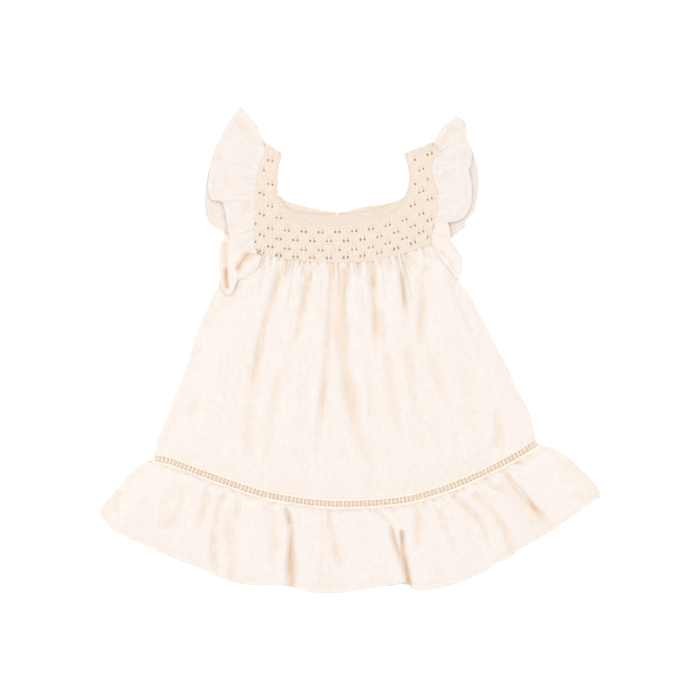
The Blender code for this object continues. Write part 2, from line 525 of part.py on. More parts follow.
# ---------------------------------------------------------------- front pieces
def front_skirt(cloth):
    right = side_curve(RIGHT_SIDE, skirt_head(0), skirt_foot(0))
    left = side_curve(LEFT_SIDE, skirt_head(1), skirt_foot(1))
    surface = patch(skirt_head, skirt_foot, right, left)
    length = (right.length + left.length) / 2
    yoke_start = spline(RIGHT_ARMHOLE).length
    yoke_finish = yoke_start + yoke_seam.length

    def height(u, v):
        p = surface(u, v)
        width = (surface(1, v) - surface(0, v)).length
        side = smooth(min(u, 1 - u) * width / SKIRT_SIDE_RUN)
        head = smooth(v * length / SKIRT_HEAD_RUN)
        seam_height = FRONT_FLOOR + (SKIRT_HEAD - FRONT_FLOOR) * side
        puff = FRONT_FLOOR + (SKIRT_PUFF - FRONT_FLOOR) * side
        z = seam_height + (puff - seam_height) * head
        z = folded(z, FRONT_FLOOR, SKIRT_FOLDS + SKIRT_PRESSED, p)
        along = u * skirt_head.length
        gathered = smooth((along - yoke_start) / PLAIN_RIGHT - 0.6)
        gathered *= smooth((yoke_finish - along) / PLAIN_LEFT - 0.5)
        z += gathered * gather(YOKE_GATHERS, along, v * length)
        foot = smooth(1 - (1 - v) * length / SKIRT_FOOT_RUN)
        return max(z + (lift_at(u) - z) * foot, FRONT_FLOOR)

    row_shares = SKIRT_HEAD_SHARES + SKIRT_SHARES
    head_row = with_rolled_ends(SKIRT_HEAD_COLUMNS, skirt_head.length)
    body_row = with_rolled_ends(SKIRT_COLUMNS, skirt_foot.length * 0.8)
    shares = [head_row] * len(SKIRT_HEAD_SHARES) + [body_row] * len(SKIRT_SHARES)
    return draped("front_skirt", surface, height, shares, row_shares, CLOTH, cloth)


def front_ruffle(cloth):
    hem = spline(HEM)
    right = side_curve(RUFFLE_RIGHT, ruffle_head(0), hem(0))
    left = side_curve(RUFFLE_LEFT, ruffle_head(1), hem(1))
    surface = patch(ruffle_head, hem, right, left)

    def height(u, v):
        p = surface(u, v)
        width = (surface(1, v) - surface(0, v)).length
        side = smooth(min(u, 1 - u) * width / RUFFLE_SIDE_RUN)
        head = smooth(v * RUFFLE_LENGTH / RUFFLE_HEAD_RUN)
        puff = FRONT_FLOOR + (RUFFLE_PUFF - FRONT_FLOOR) * side
        z = folded(puff, FRONT_FLOOR, RUFFLE_FOLDS, p)
        z = lift_at(u) + (z - lift_at(u)) * head
        z += side * gather(RUFFLE_GATHERS, u * ruffle_head.length, v * RUFFLE_LENGTH)
        hem_drop = HEM_DROP * smooth(1 - (1 - v) * RUFFLE_LENGTH / HEM_RUN)
        return max(z - hem_drop * side, FRONT_FLOOR)

    row_shares = RUFFLE_HEAD_SHARES + RUFFLE_SHARES
    head_row = with_rolled_ends(RUFFLE_HEAD_COLUMNS, ruffle_head.length)
    body_row = with_rolled_ends(RUFFLE_COLUMNS, hem.length * 0.85)
    shares = [head_row] * len(RUFFLE_HEAD_SHARES) + [body_row] * len(RUFFLE_SHARES)
    return draped("front_ruffle", surface, height, shares, row_shares, CLOTH, cloth)


def ladder(name, inset, height, shift, finish_material):
    """Trim with a row of gaps cut through. height gives the underside and upper face at a distance along."""
    usable = trim_line.length - 2 * inset - 6.0
    count = int((usable - shift) / TRIM_PITCH)
    start = inset + 3.0 + shift
    bm = bmesh.new()
    upper_hole = beside(trim_line, TRIM_HEIGHT / 2 - TRIM_UPPER)
    lower_hole = beside(trim_line, -TRIM_HEIGHT / 2 + TRIM_LOWER)

    def pair(curve, along):
        """A point on the upper face and the one below it."""
        share = along / trim_line.length
        p = curve(share)
        low, high = height(along)
        return bm.verts.new((p.x, p.y, high)), bm.verts.new((p.x, p.y, low))

    def both(*corners):
        """The same face above and below."""
        bm.faces.new([c[0] for c in corners])
        bm.faces.new([c[1] for c in reversed(corners)])

    def between(a, b):
        """Face of the wall's edge between two pairs."""
        bm.faces.new((a[0], b[0], b[1], a[1]))

    head = [pair(trim_head, inset)]
    foot = [pair(trim_foot, inset)]
    head.append(pair(trim_head, inset + SIDE_ROLL))
    foot.append(pair(trim_foot, inset + SIDE_ROLL))
    both(head[0], foot[0], foot[1], head[1])
    before = (head[1], foot[1])
    for i in range(count):
        middle = start + (i + 0.5) * TRIM_PITCH
        half = (TRIM_PITCH - TRIM_BAR) / 2
        near = (pair(upper_hole, middle - half), pair(lower_hole, middle - half))
        far = (pair(upper_hole, middle + half), pair(lower_hole, middle + half))
        if i > 0 and i % 2 == 0:
            head.append(pair(trim_head, middle - TRIM_PITCH / 2))
            foot.append(pair(trim_foot, middle - TRIM_PITCH / 2))
            both(head[-2], before[0], head[-1])
            both(foot[-2], foot[-1], before[1])
        if i > 0:
            both(head[-1], before[0], near[0])
            both(foot[-1], near[1], before[1])
        both(before[0], before[1], near[1], near[0])
        both(head[-1], near[0], far[0])
        both(foot[-1], far[1], near[1])
        for a, b in ((near[0], near[1]), (near[1], far[1]), (far[1], far[0]), (far[0], near[0])):
            between(a, b)
        before = far
    last = trim_line.length - inset
    head.append(pair(trim_head, last - SIDE_ROLL))
    foot.append(pair(trim_foot, last - SIDE_ROLL))
    both(head[-2], before[0], head[-1])
    both(foot[-2], foot[-1], before[1])
    both(before[0], before[1], foot[-1], head[-1])
    head.append(pair(trim_head, last))
    foot.append(pair(trim_foot, last))
    both(head[-2], foot[-2], foot[-1], head[-1])
    outline = head + foot[::-1]
    for a, b in zip(outline, outline[1:] + outline[:1]):
        between(a, b)
    bmesh.ops.triangulate(bm, faces=bm.faces)
    return finish(name, bm, finish_material)


def front_trim(thread):
    def height(along):
        from_end = min(along, trim_line.length - along)
        if from_end < 0.01:
            return 0.0, EDGE_TOP
        high = lift_at(along / trim_line.length)
        return high - CLOTH, high

    return ladder("front_trim", 0.0, height, 0.0, thread)


def back_trim(thread):
    return ladder("back_trim", SIDE_LAP, lambda along: (0.0, BACK_TOP), TRIM_PITCH * 0.4, thread)


def front_yoke(knit):
    """U-shaped knitted yoke: ribs along the neck, and straps that roll down over the shoulders."""
    neck, outer_edge = yoke_edges()
    rows = [(a, b, 0.0) for a, b in zip(neck, outer_edge)]
    first = [(rows[0][0] + STRAP_END_RIGHT * out, rows[0][1] + STRAP_END_RIGHT * out, drop)
             for out, drop in STRAP_ROLL]
    last = [(rows[-1][0] + STRAP_END_LEFT * out, rows[-1][1] + STRAP_END_LEFT * out, drop)
            for out, drop in STRAP_ROLL]
    ribs = [i * 0.5 / NECK_RIBS for i in range(2 * NECK_RIBS + 1)]
    outer = []
    inner = []
    shares = []
    for a, b, drop in first[::-1] + rows + last:
        width = (b - a).length
        band = min(NECK_BAND, width * 0.38)
        spots = [rib * band for rib in ribs] + [band + (width - band) * t for t in (0.3, 0.65, 1.0)]
        top = []
        under = []
        for k, spot in enumerate(spots):
            p = a + (b - a) * (spot / width)
            rib = RIB_RISE if k < len(ribs) and k % 2 == 1 else 0.0
            top.append((p.x, p.y, YOKE_FLOOR + KNIT + rib - drop))
            under.append((p.x, p.y, max(YOKE_FLOOR - drop * 1.25, 0.0)))
        outer.append(top)
        inner.append(under)
        shares.append(even(len(spots)))
    return wall("front_yoke", outer, inner, shares, knit)


def bent(flap, columns, bow=0.0):
    """Plan points across a section, bowed sideways."""
    seam = Vector((flap.seam_x, flap.seam_y))
    hem = Vector((flap.hem_x, flap.hem_y))
    run = hem - seam
    side = Vector((-run.y, run.x)).normalized()
    return [seam + run * t + side * bow * math.sin(math.pi * t) for t in even(columns)]


def crown(flap, t):
    """Upper face's height across a section, through its three heights."""
    ends = flap.seam_z * (1 - t) + flap.hem_z * t
    middle = (flap.seam_z + flap.hem_z) / 2
    return ends + (flap.mid_z - middle) * math.sin(math.pi * t)


def lofted(sections, step):
    """Sections worked out through those of a table, at about a step apart along their hem."""
    curve = spline([tuple(section) for section in sections])
    count = max(int(curve.length / step + 0.5), 2) + 1
    return [type(sections[0])(*curve(share)) for share in even(count)]


def flap_rows(flaps, columns, floor, folds):
    """Upper and under faces of flaps that lie above a floor."""
    upper = []
    under = []
    for flap in flaps:
        points = bent(flap, columns)
        heights = [folded(crown(flap, t), floor + CLOTH, folds, p) for t, p in zip(even(columns), points)]
        upper.append([(p.x, p.y, z) for p, z in zip(points, heights)])
        under.append([(p.x, p.y, max(z - CLOTH * 1.06, floor)) for p, z in zip(points, heights)])
    return upper, under


def seam_height(x):
    """The yoke seam's y at x, level beyond its two ends."""
    points = [yoke_seam(share) for share in even(80)]
    if x <= points[0].x:
        return points[0].y
    for low, high in zip(points, points[1:]):
        if x <= high.x:
            return low.lerp(high, (x - low.x) / (high.x - low.x)).y
    return points[-1].y


def yoke_edges():
    """The yoke's neck and outer edges, as matching lists of points."""
    both_edges = spline([(s.neck_x, s.neck_y, s.outer_x, s.outer_y) for s in YOKE_SECTIONS])
    neck = []
    outer = []
    for share in even(YOKE_ROWS):
        neck_x, neck_y, outer_x, outer_y = both_edges(share)
        neck.append(Vector((neck_x, neck_y)))
        outer.append(Vector((outer_x, max(outer_y, seam_height(outer_x)))))
    return neck, outer


def beside_yoke(section, edge):
    """A sleeve section with its seam put beside the yoke's outer edge."""
    for high, low in zip(edge, edge[1:]):
        if low.y <= section.seam_y <= high.y:
            x = high.lerp(low, (high.y - section.seam_y) / (high.y - low.y)).x
            return Flap(x + math.copysign(ARMHOLE_GAP, x), *section)
    raise ValueError("sleeve section off the armhole")


def sleeve(name, fronts, back, fold, shoulder, folds, cloth):
    """Flutter sleeve folded at the shoulder: its back lies flat and its front stands over it."""
    columns = SLEEVE_COLUMNS
    hand = math.copysign(1.0, shoulder[0])
    edge = [p for p in yoke_edges()[1] if p.x * hand > 0]
    edge.sort(key=lambda point: -point.y)
    outer = []
    inner = []
    for section in reversed(lofted(back, SLEEVE_STEP)):
        points = bent(beside_yoke(section, edge), columns)
        outer.append([(p.x, p.y, 0.0) for p in points])
        inner.append([(p.x, p.y, CLOTH) for p in points])
    fold = Flap(shoulder[0], *fold)
    line = bent(fold, columns, SHOULDER_BOW * hand)
    run = line[-1] - line[0]
    out = Vector((-run.y, run.x)).normalized() * hand
    for angle in FOLD_ANGLES:
        cosine = math.cos(math.radians(angle))
        sine = math.sin(math.radians(angle))
        outer_row = []
        inner_row = []
        for t, p in zip(even(columns), line):
            radius = crown(fold, t) / 2
            centre = p - out * radius
            for row, size in ((outer_row, radius), (inner_row, radius - CLOTH)):
                place = centre + out * size * cosine
                row.append((place.x, place.y, radius + size * sine))
        outer.append(outer_row)
        inner.append(inner_row)
    for sections in fronts:
        flaps = [beside_yoke(section, edge) for section in lofted(sections, SLEEVE_STEP)]
        upper, under = flap_rows(flaps, columns, BACK_TOP + LAYER, folds)
        outer += upper
        inner += under
    return wall(name, outer, inner, [even(columns)] * len(outer), cloth)


def frill(name, flaps, folds, cloth):
    """Stretch of flounce that comes out under the arm and lies on the skirt's corner."""
    floor = FRONT_FLOOR + LAYER
    upper, under = flap_rows(flaps, FRILL_COLUMNS, floor, folds)
    return wall(name, upper, under, [even(FRILL_COLUMNS)] * len(upper), cloth)


# ---------------------------------------------------------------- back pieces
def inset_side(curve, distance, count):
    return [tuple(beside(curve, distance)(share)) for share in even(count)]


def back_skirt(cloth):
    right = side_curve(RIGHT_SIDE, skirt_head(0), skirt_foot(0))
    left = side_curve(LEFT_SIDE, skirt_head(1), skirt_foot(1))
    head = [tuple(skirt_head(share)) for share in even(40)[1:-1]]
    foot = [tuple(skirt_foot(0.01 + 0.98 * share)) for share in even(32)[::-1]]
    right_edge = inset_side(right, SIDE_LAP, 12)[::-1]
    left_edge = inset_side(left, -SIDE_LAP, 12)
    outline = head[1:-1] + left_edge[1:-1] + foot + right_edge[1:-1]
    return plate("back_skirt", outline, CLOTH, cloth)


def back_ruffle(cloth):
    hem = spline(HEM)
    right = side_curve(RUFFLE_RIGHT, ruffle_head(0), hem(0))
    left = side_curve(RUFFLE_LEFT, ruffle_head(1), hem(1))
    head = [tuple(ruffle_head(0.01 + 0.98 * share)) for share in even(30)]
    left_edge = inset_side(left, -SIDE_LAP, 8)
    right_edge = inset_side(right, SIDE_LAP, 8)[::-1]
    foot = [tuple(beside(hem, BACK_HEM_INSET)(share)) for share in even(56)[::-1]]
    outline = head + left_edge[1:-1] + foot[1:-1] + right_edge[1:-1]
    return plate("back_ruffle", outline, CLOTH, cloth)


def back_yoke(knit):
    """U-shaped knitted back with a short slit at the centre back."""
    neck_edge, outer_edge = yoke_edges()
    right = [tuple(p) for p in outer_edge if p.x < 0 and p.y > BACK_ARM_RIGHT]
    left = [tuple(p) for p in outer_edge if p.x > 0 and p.y > BACK_ARM_LEFT]
    seam = [tuple(yoke_seam(share)) for share in even(24)]
    neck_left = [tuple(p) for p in neck_edge[::-1] if p.x > 0 and p.y > BACK_STRAP_LEFT]
    neck_right = [tuple(p) for p in neck_edge[::-1] if p.x < 0 and p.y > BACK_STRAP_RIGHT]
    neck_back = spline(BACK_NECK[::-1])
    neck = [tuple(neck_back(share)) for share in even(30)]
    half = SLIT_WIDTH / 2
    lip = min(neck, key=lambda p: abs(p[0] - BACK_SLIT_X))[1]
    mouth = half + SLIT_NOTCH / 2
    cut = [(BACK_SLIT_X + mouth, lip + 0.5), (BACK_SLIT_X + half, lip - SLIT_NOTCH),
           (BACK_SLIT_X + half, lip - SLIT_LENGTH), (BACK_SLIT_X - half, lip - SLIT_LENGTH),
           (BACK_SLIT_X - half, lip - SLIT_NOTCH), (BACK_SLIT_X - mouth, lip + 0.5)]
    before = [p for p in neck if p[0] > BACK_SLIT_X + mouth + 1.0]
    after = [p for p in neck if p[0] < BACK_SLIT_X - mouth - 1.0]
    outline = right + seam[1:-1] + left + neck_left + before + cut + after + neck_right
    return plate("back_yoke", outline, KNIT, knit)


# ---------------------------------------------------------------- the dress
def build():
    for old in list(bpy.data.objects):
        bpy.data.objects.remove(old, do_unlink=True)
    cloth = material("ivory_cotton", (0.93, 0.87, 0.80), 0.9)
    knit = material("oatmeal_knit", (0.87, 0.76, 0.64), 0.95)
    thread = material("cream_trim", (0.88, 0.77, 0.63), 0.85)
    back_skirt(cloth)
    back_trim(thread)
    back_ruffle(cloth)
    back_yoke(knit)
    front_skirt(cloth)
    front_trim(thread)
    front_ruffle(cloth)
    front_yoke(knit)
    sleeve("right_sleeve", (RIGHT_FRONT_UPPER, RIGHT_FRONT_LOWER), RIGHT_BACK, RIGHT_FOLD,
           RIGHT_SHOULDER, RIGHT_SLEEVE_FOLDS, cloth)
    sleeve("left_sleeve", (LEFT_FRONT_UPPER, LEFT_FRONT_LOWER), LEFT_BACK, LEFT_FOLD,
           LEFT_SHOULDER, LEFT_SLEEVE_FOLDS, cloth)
    frill("right_underarm_frill", RIGHT_FRILL, RIGHT_FRILL_FOLDS, cloth)
    frill("left_underarm_frill", LEFT_FRILL, [], cloth)


build()
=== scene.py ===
"""Toddler dress, laid flat: the finished cloth, knit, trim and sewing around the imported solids.

Tables and sizes are in millimetres in the dress's own frame, and meshes are made in metres. +X is the
wearer's left, +Y runs up to the neck and +Z is away from the surface.
"""

import math
from collections import namedtuple

import bpy
import numpy as np
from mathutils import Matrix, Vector


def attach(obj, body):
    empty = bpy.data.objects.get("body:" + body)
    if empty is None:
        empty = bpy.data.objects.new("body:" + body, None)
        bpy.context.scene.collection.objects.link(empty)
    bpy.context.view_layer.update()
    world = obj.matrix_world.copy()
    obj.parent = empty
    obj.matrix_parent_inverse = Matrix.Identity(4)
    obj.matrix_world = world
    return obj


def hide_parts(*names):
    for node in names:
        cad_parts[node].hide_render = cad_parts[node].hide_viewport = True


MM = 0.001
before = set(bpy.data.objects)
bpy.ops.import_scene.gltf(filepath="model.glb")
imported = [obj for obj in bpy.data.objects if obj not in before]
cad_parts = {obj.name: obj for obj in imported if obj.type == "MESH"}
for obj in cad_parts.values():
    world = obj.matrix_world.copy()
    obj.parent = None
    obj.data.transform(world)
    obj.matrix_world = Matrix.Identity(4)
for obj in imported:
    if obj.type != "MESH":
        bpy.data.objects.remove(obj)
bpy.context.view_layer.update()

# ---------------------------------------------------------------- sizes, millimetres
CLOTH = 0.8            # washed cotton cloth with its slubs
KNIT = 1.5             # knitted yoke
SEAM_TUCK = 1.3        # how far cloth runs under the yoke and the trim at its seams
BACK_TOP = 1.2         # upper face of the back pieces
FRONT_FLOOR = 2.8      # lowest that the front's upper face may lie
YOKE_TOP = 3.6         # mean upper face of the front yoke
EDGE_ROLL = 4.0        # width of the rounded edge at the side seams
EDGE_LOW = 0.5         # height of that edge

SKIRT_PUFF = 8.0       # height of the skirt's upper face between its folds
SKIRT_HEAD = 4.4       # the same at its head
SKIRT_SIDE_RUN = 45.0  # distance from the side seams over which it rises to that height
SKIRT_HEAD_RUN = 20.0  # the same from its head and from the trim
SKIRT_FOOT_RUN = 26.0
RUFFLE_PUFF = 9.2      # height of the ruffle's upper face between its folds
RUFFLE_LENGTH = 92.0   # from the trim to the hem
RUFFLE_SIDE_RUN = 30.0
RUFFLE_HEAD_RUN = 16.0
HEM_RUN = 30.0         # stretch above the hem over which the ruffle sinks
HEM_DROP = 1.2         # how far it sinks
HEM_FOLD = 5.4         # depth of the sewn hem
HEM_SEWN = 0.9         # how far inside its edge the stitches lie
FRILL_SEWN = 0.8

TRIM_UPPER = 2.6       # width of the trim's upper band
TRIM_GAP = 5.7         # gap between its bands, which the bars cross
TRIM_LOWER = 3.4       # width of its lower band
TRIM_PITCH = 4.28      # from one bar to the next
TRIM_HEIGHT = TRIM_UPPER + TRIM_GAP + TRIM_LOWER
BAND_THICK = 1.3       # thickness of the trim's bands
BAR_WIDTH = 2.0        # width of a bar of the ladder
BACK_BAR_WIDTH = 3.2
FRONT_TRIM_INSET = 0.6     # from the end of the trim's line to the end of its bands
BACK_TRIM_INSET = 1.6
BACK_BAR_SHIFT = TRIM_PITCH / 2 - 1.0     # how far along the back's bars lie from the front's
FRONT_TRIM_SINK = 0.6      # how far the middle of each trim lies below the upper face at its line
BACK_TRIM_SINK = 2.3
BACK_TRIM_LOW = 1.1        # lowest that the back's may lie

WALE = 2.241           # width of a column of stitches
COURSE = 1.38          # height of a row of stitches
EYELET_COLUMNS = 8 * WALE      # from one pair of eyelets to the next in a row
EYELET_PAIR = 2 * WALE
EYELET_FIRST = -4.9    # x of the pair in the middle of the first row
EYELET_TILT = 0.034    # rise of the rows towards the wearer's left
EYELET_RADIUS = 0.79
EYELET_SPREAD = (0.74, 1.04)   # an eyelet's radius lies between these shares of it
EYELET_REACH = 7       # pitches of a row to each side of its middle
FIRST_ROW_TALL = 1.5   # how far the first row's eyelets are stretched upwards
EYELET_CLEAR = 2.2     # least distance of an eyelet from the yoke's outer edge
BAND_CLEAR = 1.6       # from its neck band
SLIT_CLEAR = 3.0       # from the middle of the slit
EYELET_DIP = 0.45      # how far the knit sinks round an eyelet
HOLE_REACH = 3.2       # an eyelet pushes the knit aside up to this many of its radii
RIB_PITCH = 3.3        # pitch of the ribs along the neck
WALE_RISE = 0.22       # relief of the columns, rows and ribs
COURSE_RISE = 0.05
RIB_RISE = 0.7
YOKE_ROWS = 700
YOKE_COLUMNS = 68
BACK_YOKE_ROWS = 270
BACK_YOKE_COLUMNS = 62
BACK_YOKE_TOP = 1.8
BACK_PHASE = 0.375      # the back's eyelets lie this share of a pitch from the front's
SLIT_HALF = 0.35       # half the width of the slit at the centre back
SLIT_CUT = 0.45
ARMHOLE_TUCK = 1.6     # how far the sleeves run under the yoke's outer edge
SLEEVE_HEM = 6.5       # depth of the sleeves' sewn hem
FRILL_HEM = 4.2
FRILL_LOW = 3.2        # lowest upper face of the frills
SLEEVE_FOLD_SHADE = 0.05     # painted shade: warmth of a fold for each millimetre of its depth, in the sleeves and the frills
# Painted shade in each frill's folds, for each millimetre of their depth: the right frill's inside lies in
# its own shade.
RIGHT_FRILL_SHADE = 0.26
LEFT_FRILL_SHADE = 0.05
BACK_LAYER_SHADE = 0.25       # painted shade on the sleeves' back layer, which lies under the front
FRONT_LAYER_SHADE = 0.08      # painted shade on their front layer, a little darker than the skirt
EYELET_OPEN = 0.66     # grid points nearer to an eyelet's centre than this share of its radius are left out
LADDER_HALF = 0.55     # half the width of the line of open stitches above an eyelet
LADDER_RUN = 6.5
LADDER_LEAN = 0.1      # how far it leans to the middle of its pair for each millimetre up
EYELET_ROWS = [6.0, 13.9, 23.6, 33.3, 46.0, 57.3, 68.0, 80.8, 93.9, 106.0]    # above the yoke's seam

# ---------------------------------------------------------------- outlines, millimetres (x, y)
YOKE_SEAM = [(-101.6, 104.5), (-88, 99), (-65, 95.5), (-35, 93), (-7, 92.4), (21, 94.2), (50, 100.3),
             (70, 106.5), (86.2, 112.3)]
RIGHT_ARMHOLE = [(-137.4, 78.0), (-128, 86.5), (-116, 95.5), (-102.2, 103.9)]
LEFT_ARMHOLE = [(86.9, 111.8), (95, 101.5), (105, 87.5), (115.1, 73.5)]
RIGHT_SIDE = [(-137.4, 78.0), (-144.8, 63.0), (-152.6, 47.0), (-164.8, 17.5), (-175.2, -16.6),
              (-185.4, -43.3), (-197.6, -73.3), (-206.6, -95.8), (-211.8, -109.9)]
LEFT_SIDE = [(115.1, 73.5), (125.5, 61.5), (141.8, 31.9), (156.6, 2.5), (168.9, -18.8), (175.6, -36.9),
             (186, -54.9), (192.7, -69.7), (196, -83.0), (199.6, -91.5)]
TRIM_LINE = [(-211.8, -116.2), (-202, -117.6), (-192, -120.0), (-181, -124.1), (-170, -128.2),
             (-157, -133.0), (-142, -138.7), (-122, -145.4), (-101, -152.4), (-81, -157.4),
             (-61.5, -160.8), (-37, -164.0), (-12.4, -165.4), (12, -164.8), (37, -163.2),
             (61.5, -160.2), (86, -153.6), (113, -144.4), (143, -131.2), (173, -116.0),
             (195.6, -102.2), (201.6, -98.0)]
RUFFLE_RIGHT = [(-213.6, -122.0), (-221.2, -119.2), (-226.0, -123.2), (-237.2, -133.6),
                (-250.0, -148.2), (-263.6, -163.4), (-269.4, -173.6)]
RUFFLE_LEFT = [(204.4, -103.4), (214.4, -104.3), (231.7, -114.1), (246.7, -127.7), (260.2, -141.1),
               (268.4, -153.6)]
HEM = [(-269.4, -173.6), (-262.4, -184.6), (-247.0, -196.0), (-225, -206.5), (-203.2, -216.2),
       (-178.4, -227.1), (-156.4, -234.8), (-142.5, -242.0), (-124.5, -249.0), (-101.3, -251.8),
       (-76.7, -251.6), (-55.4, -255.5), (-39.4, -259.4), (-12.4, -259.6), (18.4, -255.1), (36.8, -252.4),
       (50.5, -250.0), (61.5, -249.0), (65.0, -255.4), (72.0, -256.3), (90.5, -255.2), (112.9, -249.8),
       (127.9, -244), (146, -235), (157, -227), (167.1, -224.0), (180.7, -213.5), (203.1, -200.4),
       (222.7, -187.7), (240.7, -175.7), (258, -163), (266.5, -157.8), (268.4, -153.6)]
BACK_HEM_BELOW = [(40.0, -255.0), (50.5, -253.2), (60.0, -252.2)]     # where the back's hem shows
BACK_NECK = [(-76.0, 165.2), (-69, 159.3), (-59.3, 156.2), (-49.7, 153.2), (-40.1, 151), (-28.6, 148.6),
             (-21, 146.9), (-15.1, 145.9), (-8, 147.8), (0.6, 150.2), (10.4, 152.2), (19.4, 153.7),
             (35.1, 155.4), (43.4, 157.2), (53, 160.6)]
BACK_SLIT_X = -14.2
SLIT_LENGTH = 36.0

# ---------------------------------------------------------------- sections
# A yoke section runs from the neck edge to the outer edge; band is the width of its ribbed neck band.
Section = namedtuple("Section", "neck_x neck_y outer_x outer_y band")
YOKE_SECTIONS = [Section(*row) for row in [
    (-73.4, 207.8, -91.6, 219.6, 4.0), (-74.4, 203.5, -91.8, 211.6, 4.0),
    (-75.9, 197.0, -95.0, 201.8, 4.0), (-76.9, 186.0, -99.6, 188.4, 4.0),
    (-77.4, 173.5, -101.4, 170.7, 4.4), (-76.9, 165.5, -102.3, 148.2, 5.4),
    (-74.6, 160.6, -102.8, 126.8, 7.0), (-71.3, 156.0, -101.6, 104.5, 9.0),
    (-66.4, 150.2, -88.0, 99.0, 11.0), (-53.4, 146.8, -65.0, 95.5, 12.0),
    (-31.5, 144.4, -35.0, 93.0, 12.4), (-10.1, 144.3, -7.0, 92.4, 12.4), (12.4, 146.6, 21.0, 94.2, 12.4),
    (34.0, 152.0, 50.0, 100.3, 11.6), (45.0, 156.3, 70.0, 106.5, 9.6), (52.6, 159.9, 86.2, 112.3, 7.4),
    (57.4, 164.2, 88.6, 130.0, 5.8), (60.4, 171.4, 93.0, 149.6, 4.6), (61.8, 180.6, 93.0, 171.4, 4.0),
    (61.9, 189.9, 87.6, 186.6, 4.0), (59.8, 199.5, 88.3, 201.2, 4.0), (57.8, 204.6, 96.2, 210.2, 4.0),
    (57.3, 207.6, 87.4, 219.8, 4.0),
]]

# A sleeve section runs from the armhole seam, beside the yoke at seam_y, to the hem. Its heights are those
# of the upper face at the seam, halfway and at the hem.
SleeveSection = namedtuple("SleeveSection", "seam_y hem_x hem_y seam_z mid_z hem_z", defaults=(0, 0, 0))
RIGHT_FRONT_UPPER = [SleeveSection(*row) for row in [
    (213.0, -129.2, 244.9, 3.4, 4.4, 2.7), (196.0, -146.0, 211.0, 3.5, 4.9, 3.2),
    (183.0, -151.4, 187.0, 3.6, 5.0, 2.7), (170.7, -152.4, 170.0, 3.8, 4.9, 3.2),
    (161.5, -149.2, 160.2, 4.0, 4.8, 3.4),
]]
RIGHT_FRONT_LOWER = [SleeveSection(*row) for row in [
    (159.4, -136.8, 157.6, 3.2, 4.0, 3.0), (148.2, -133.8, 145.0, 3.4, 4.4, 3.2),
    (134.0, -131.0, 127.0, 3.4, 4.6, 2.8), (123.0, -127.2, 112.0, 3.6, 4.9, 3.8),
    (114.0, -118.0, 104.9, 4.2, 5.6, 4.4), (106.4, -99.0, 101.7, 4.4, 5.0, 4.4),
]]
RIGHT_BACK = [SleeveSection(*row) for row in [
    (212.0, -132.6, 239.5), (200.0, -145.4, 213.9), (183.0, -152.8, 187.5), (165.0, -155.4, 166.0),
    (146.0, -154.6, 144.5), (127.0, -147.2, 131.7), (117.0, -134.4, 124.4), (108.5, -122.5, 113.0),
]]
RIGHT_SHOULDER = (-91.0, 221.2)
RIGHT_SHOULDER_FOLD = SleeveSection(221.6, -117.6, 260.6, 3.2, 4.0, 3.2)

LEFT_FRONT_UPPER = [SleeveSection(*row) for row in [
    (216.8, 121.8, 242.3, 3.4, 4.4, 2.7), (210.2, 125.0, 227.0, 3.5, 5.4, 3.2),
    (203.0, 129.8, 211.0, 3.7, 4.9, 2.7), (194.8, 129.0, 197.4, 4.0, 4.9, 3.4),
]]
LEFT_FRONT_LOWER = [SleeveSection(*row) for row in [
    (191.6, 126.4, 192.0, 3.2, 4.4, 3.0), (184.0, 127.6, 186.4, 3.3, 4.5, 3.2),
    (171.4, 129.9, 176.5, 3.4, 4.9, 2.7), (158.0, 130.0, 161.0, 3.4, 5.1, 3.2),
    (149.0, 127.4, 150.4, 3.4, 5.0, 2.8), (143.4, 119.6, 139.6, 3.5, 4.7, 3.2),
    (139.6, 107.5, 136.2, 3.6, 5.0, 3.6), (137.2, 97.6, 136.0, 3.8, 4.2, 3.6),
]]
LEFT_BACK = [SleeveSection(*row) for row in [
    (216.8, 123.2, 242.1), (210.2, 125.4, 225.8), (201.2, 130.8, 212.2), (189.0, 135.4, 196.0),
    (172.0, 136.6, 181.1), (160.0, 135.5, 161.7), (149.6, 132.2, 148.0), (139.0, 124.0, 137.6),
    (130.0, 121.2, 130.2), (121.0, 104.5, 116.5),
]]
LEFT_SHOULDER = (86.8, 221.2)
LEFT_SHOULDER_FOLD = SleeveSection(222.2, 115.1, 250.9, 3.2, 4.2, 3.4)
SHOULDER_BOW = 3.2

# A frill section runs from the armhole to the hem of the stretch that comes out under the arm.
Flap = namedtuple("Flap", "seam_x seam_y hem_x hem_y seam_z mid_z hem_z")
RIGHT_FRILL = [Flap(*row) for row in [
    (-96.6, 101.4, -95.0, 99.6, 3.4, 4.0, 3.6), (-101.0, 103.6, -98.3, 88.2, 3.4, 4.8, 3.9),
    (-105.4, 105.0, -106.4, 79.8, 3.4, 5.2, 4.0), (-109.6, 106.0, -113.8, 75.6, 3.4, 5.4, 4.0),
    (-112.8, 107.0, -119.6, 74.2, 3.4, 5.2, 4.0), (-116.2, 108.4, -121.8, 69.8, 3.4, 5.8, 4.2),
    (-118.8, 109.6, -124.2, 64.0, 3.4, 6.2, 4.6), (-121.6, 111.0, -127.4, 58.8, 3.4, 6.2, 4.6),
    (-124.6, 113.0, -131.0, 57.2, 3.4, 6.0, 4.6), (-127.8, 116.0, -135.0, 60.2, 3.4, 6.0, 4.4),
    (-130.0, 119.0, -138.2, 69.6, 3.4, 6.2, 4.2), (-131.8, 121.5, -140.2, 89.2, 3.4, 5.6, 3.8),
    (-133.2, 123.5, -140.0, 106.2, 3.4, 4.6, 3.6), (-134.4, 125.5, -135.6, 122.0, 3.4, 3.8, 3.6),
]]
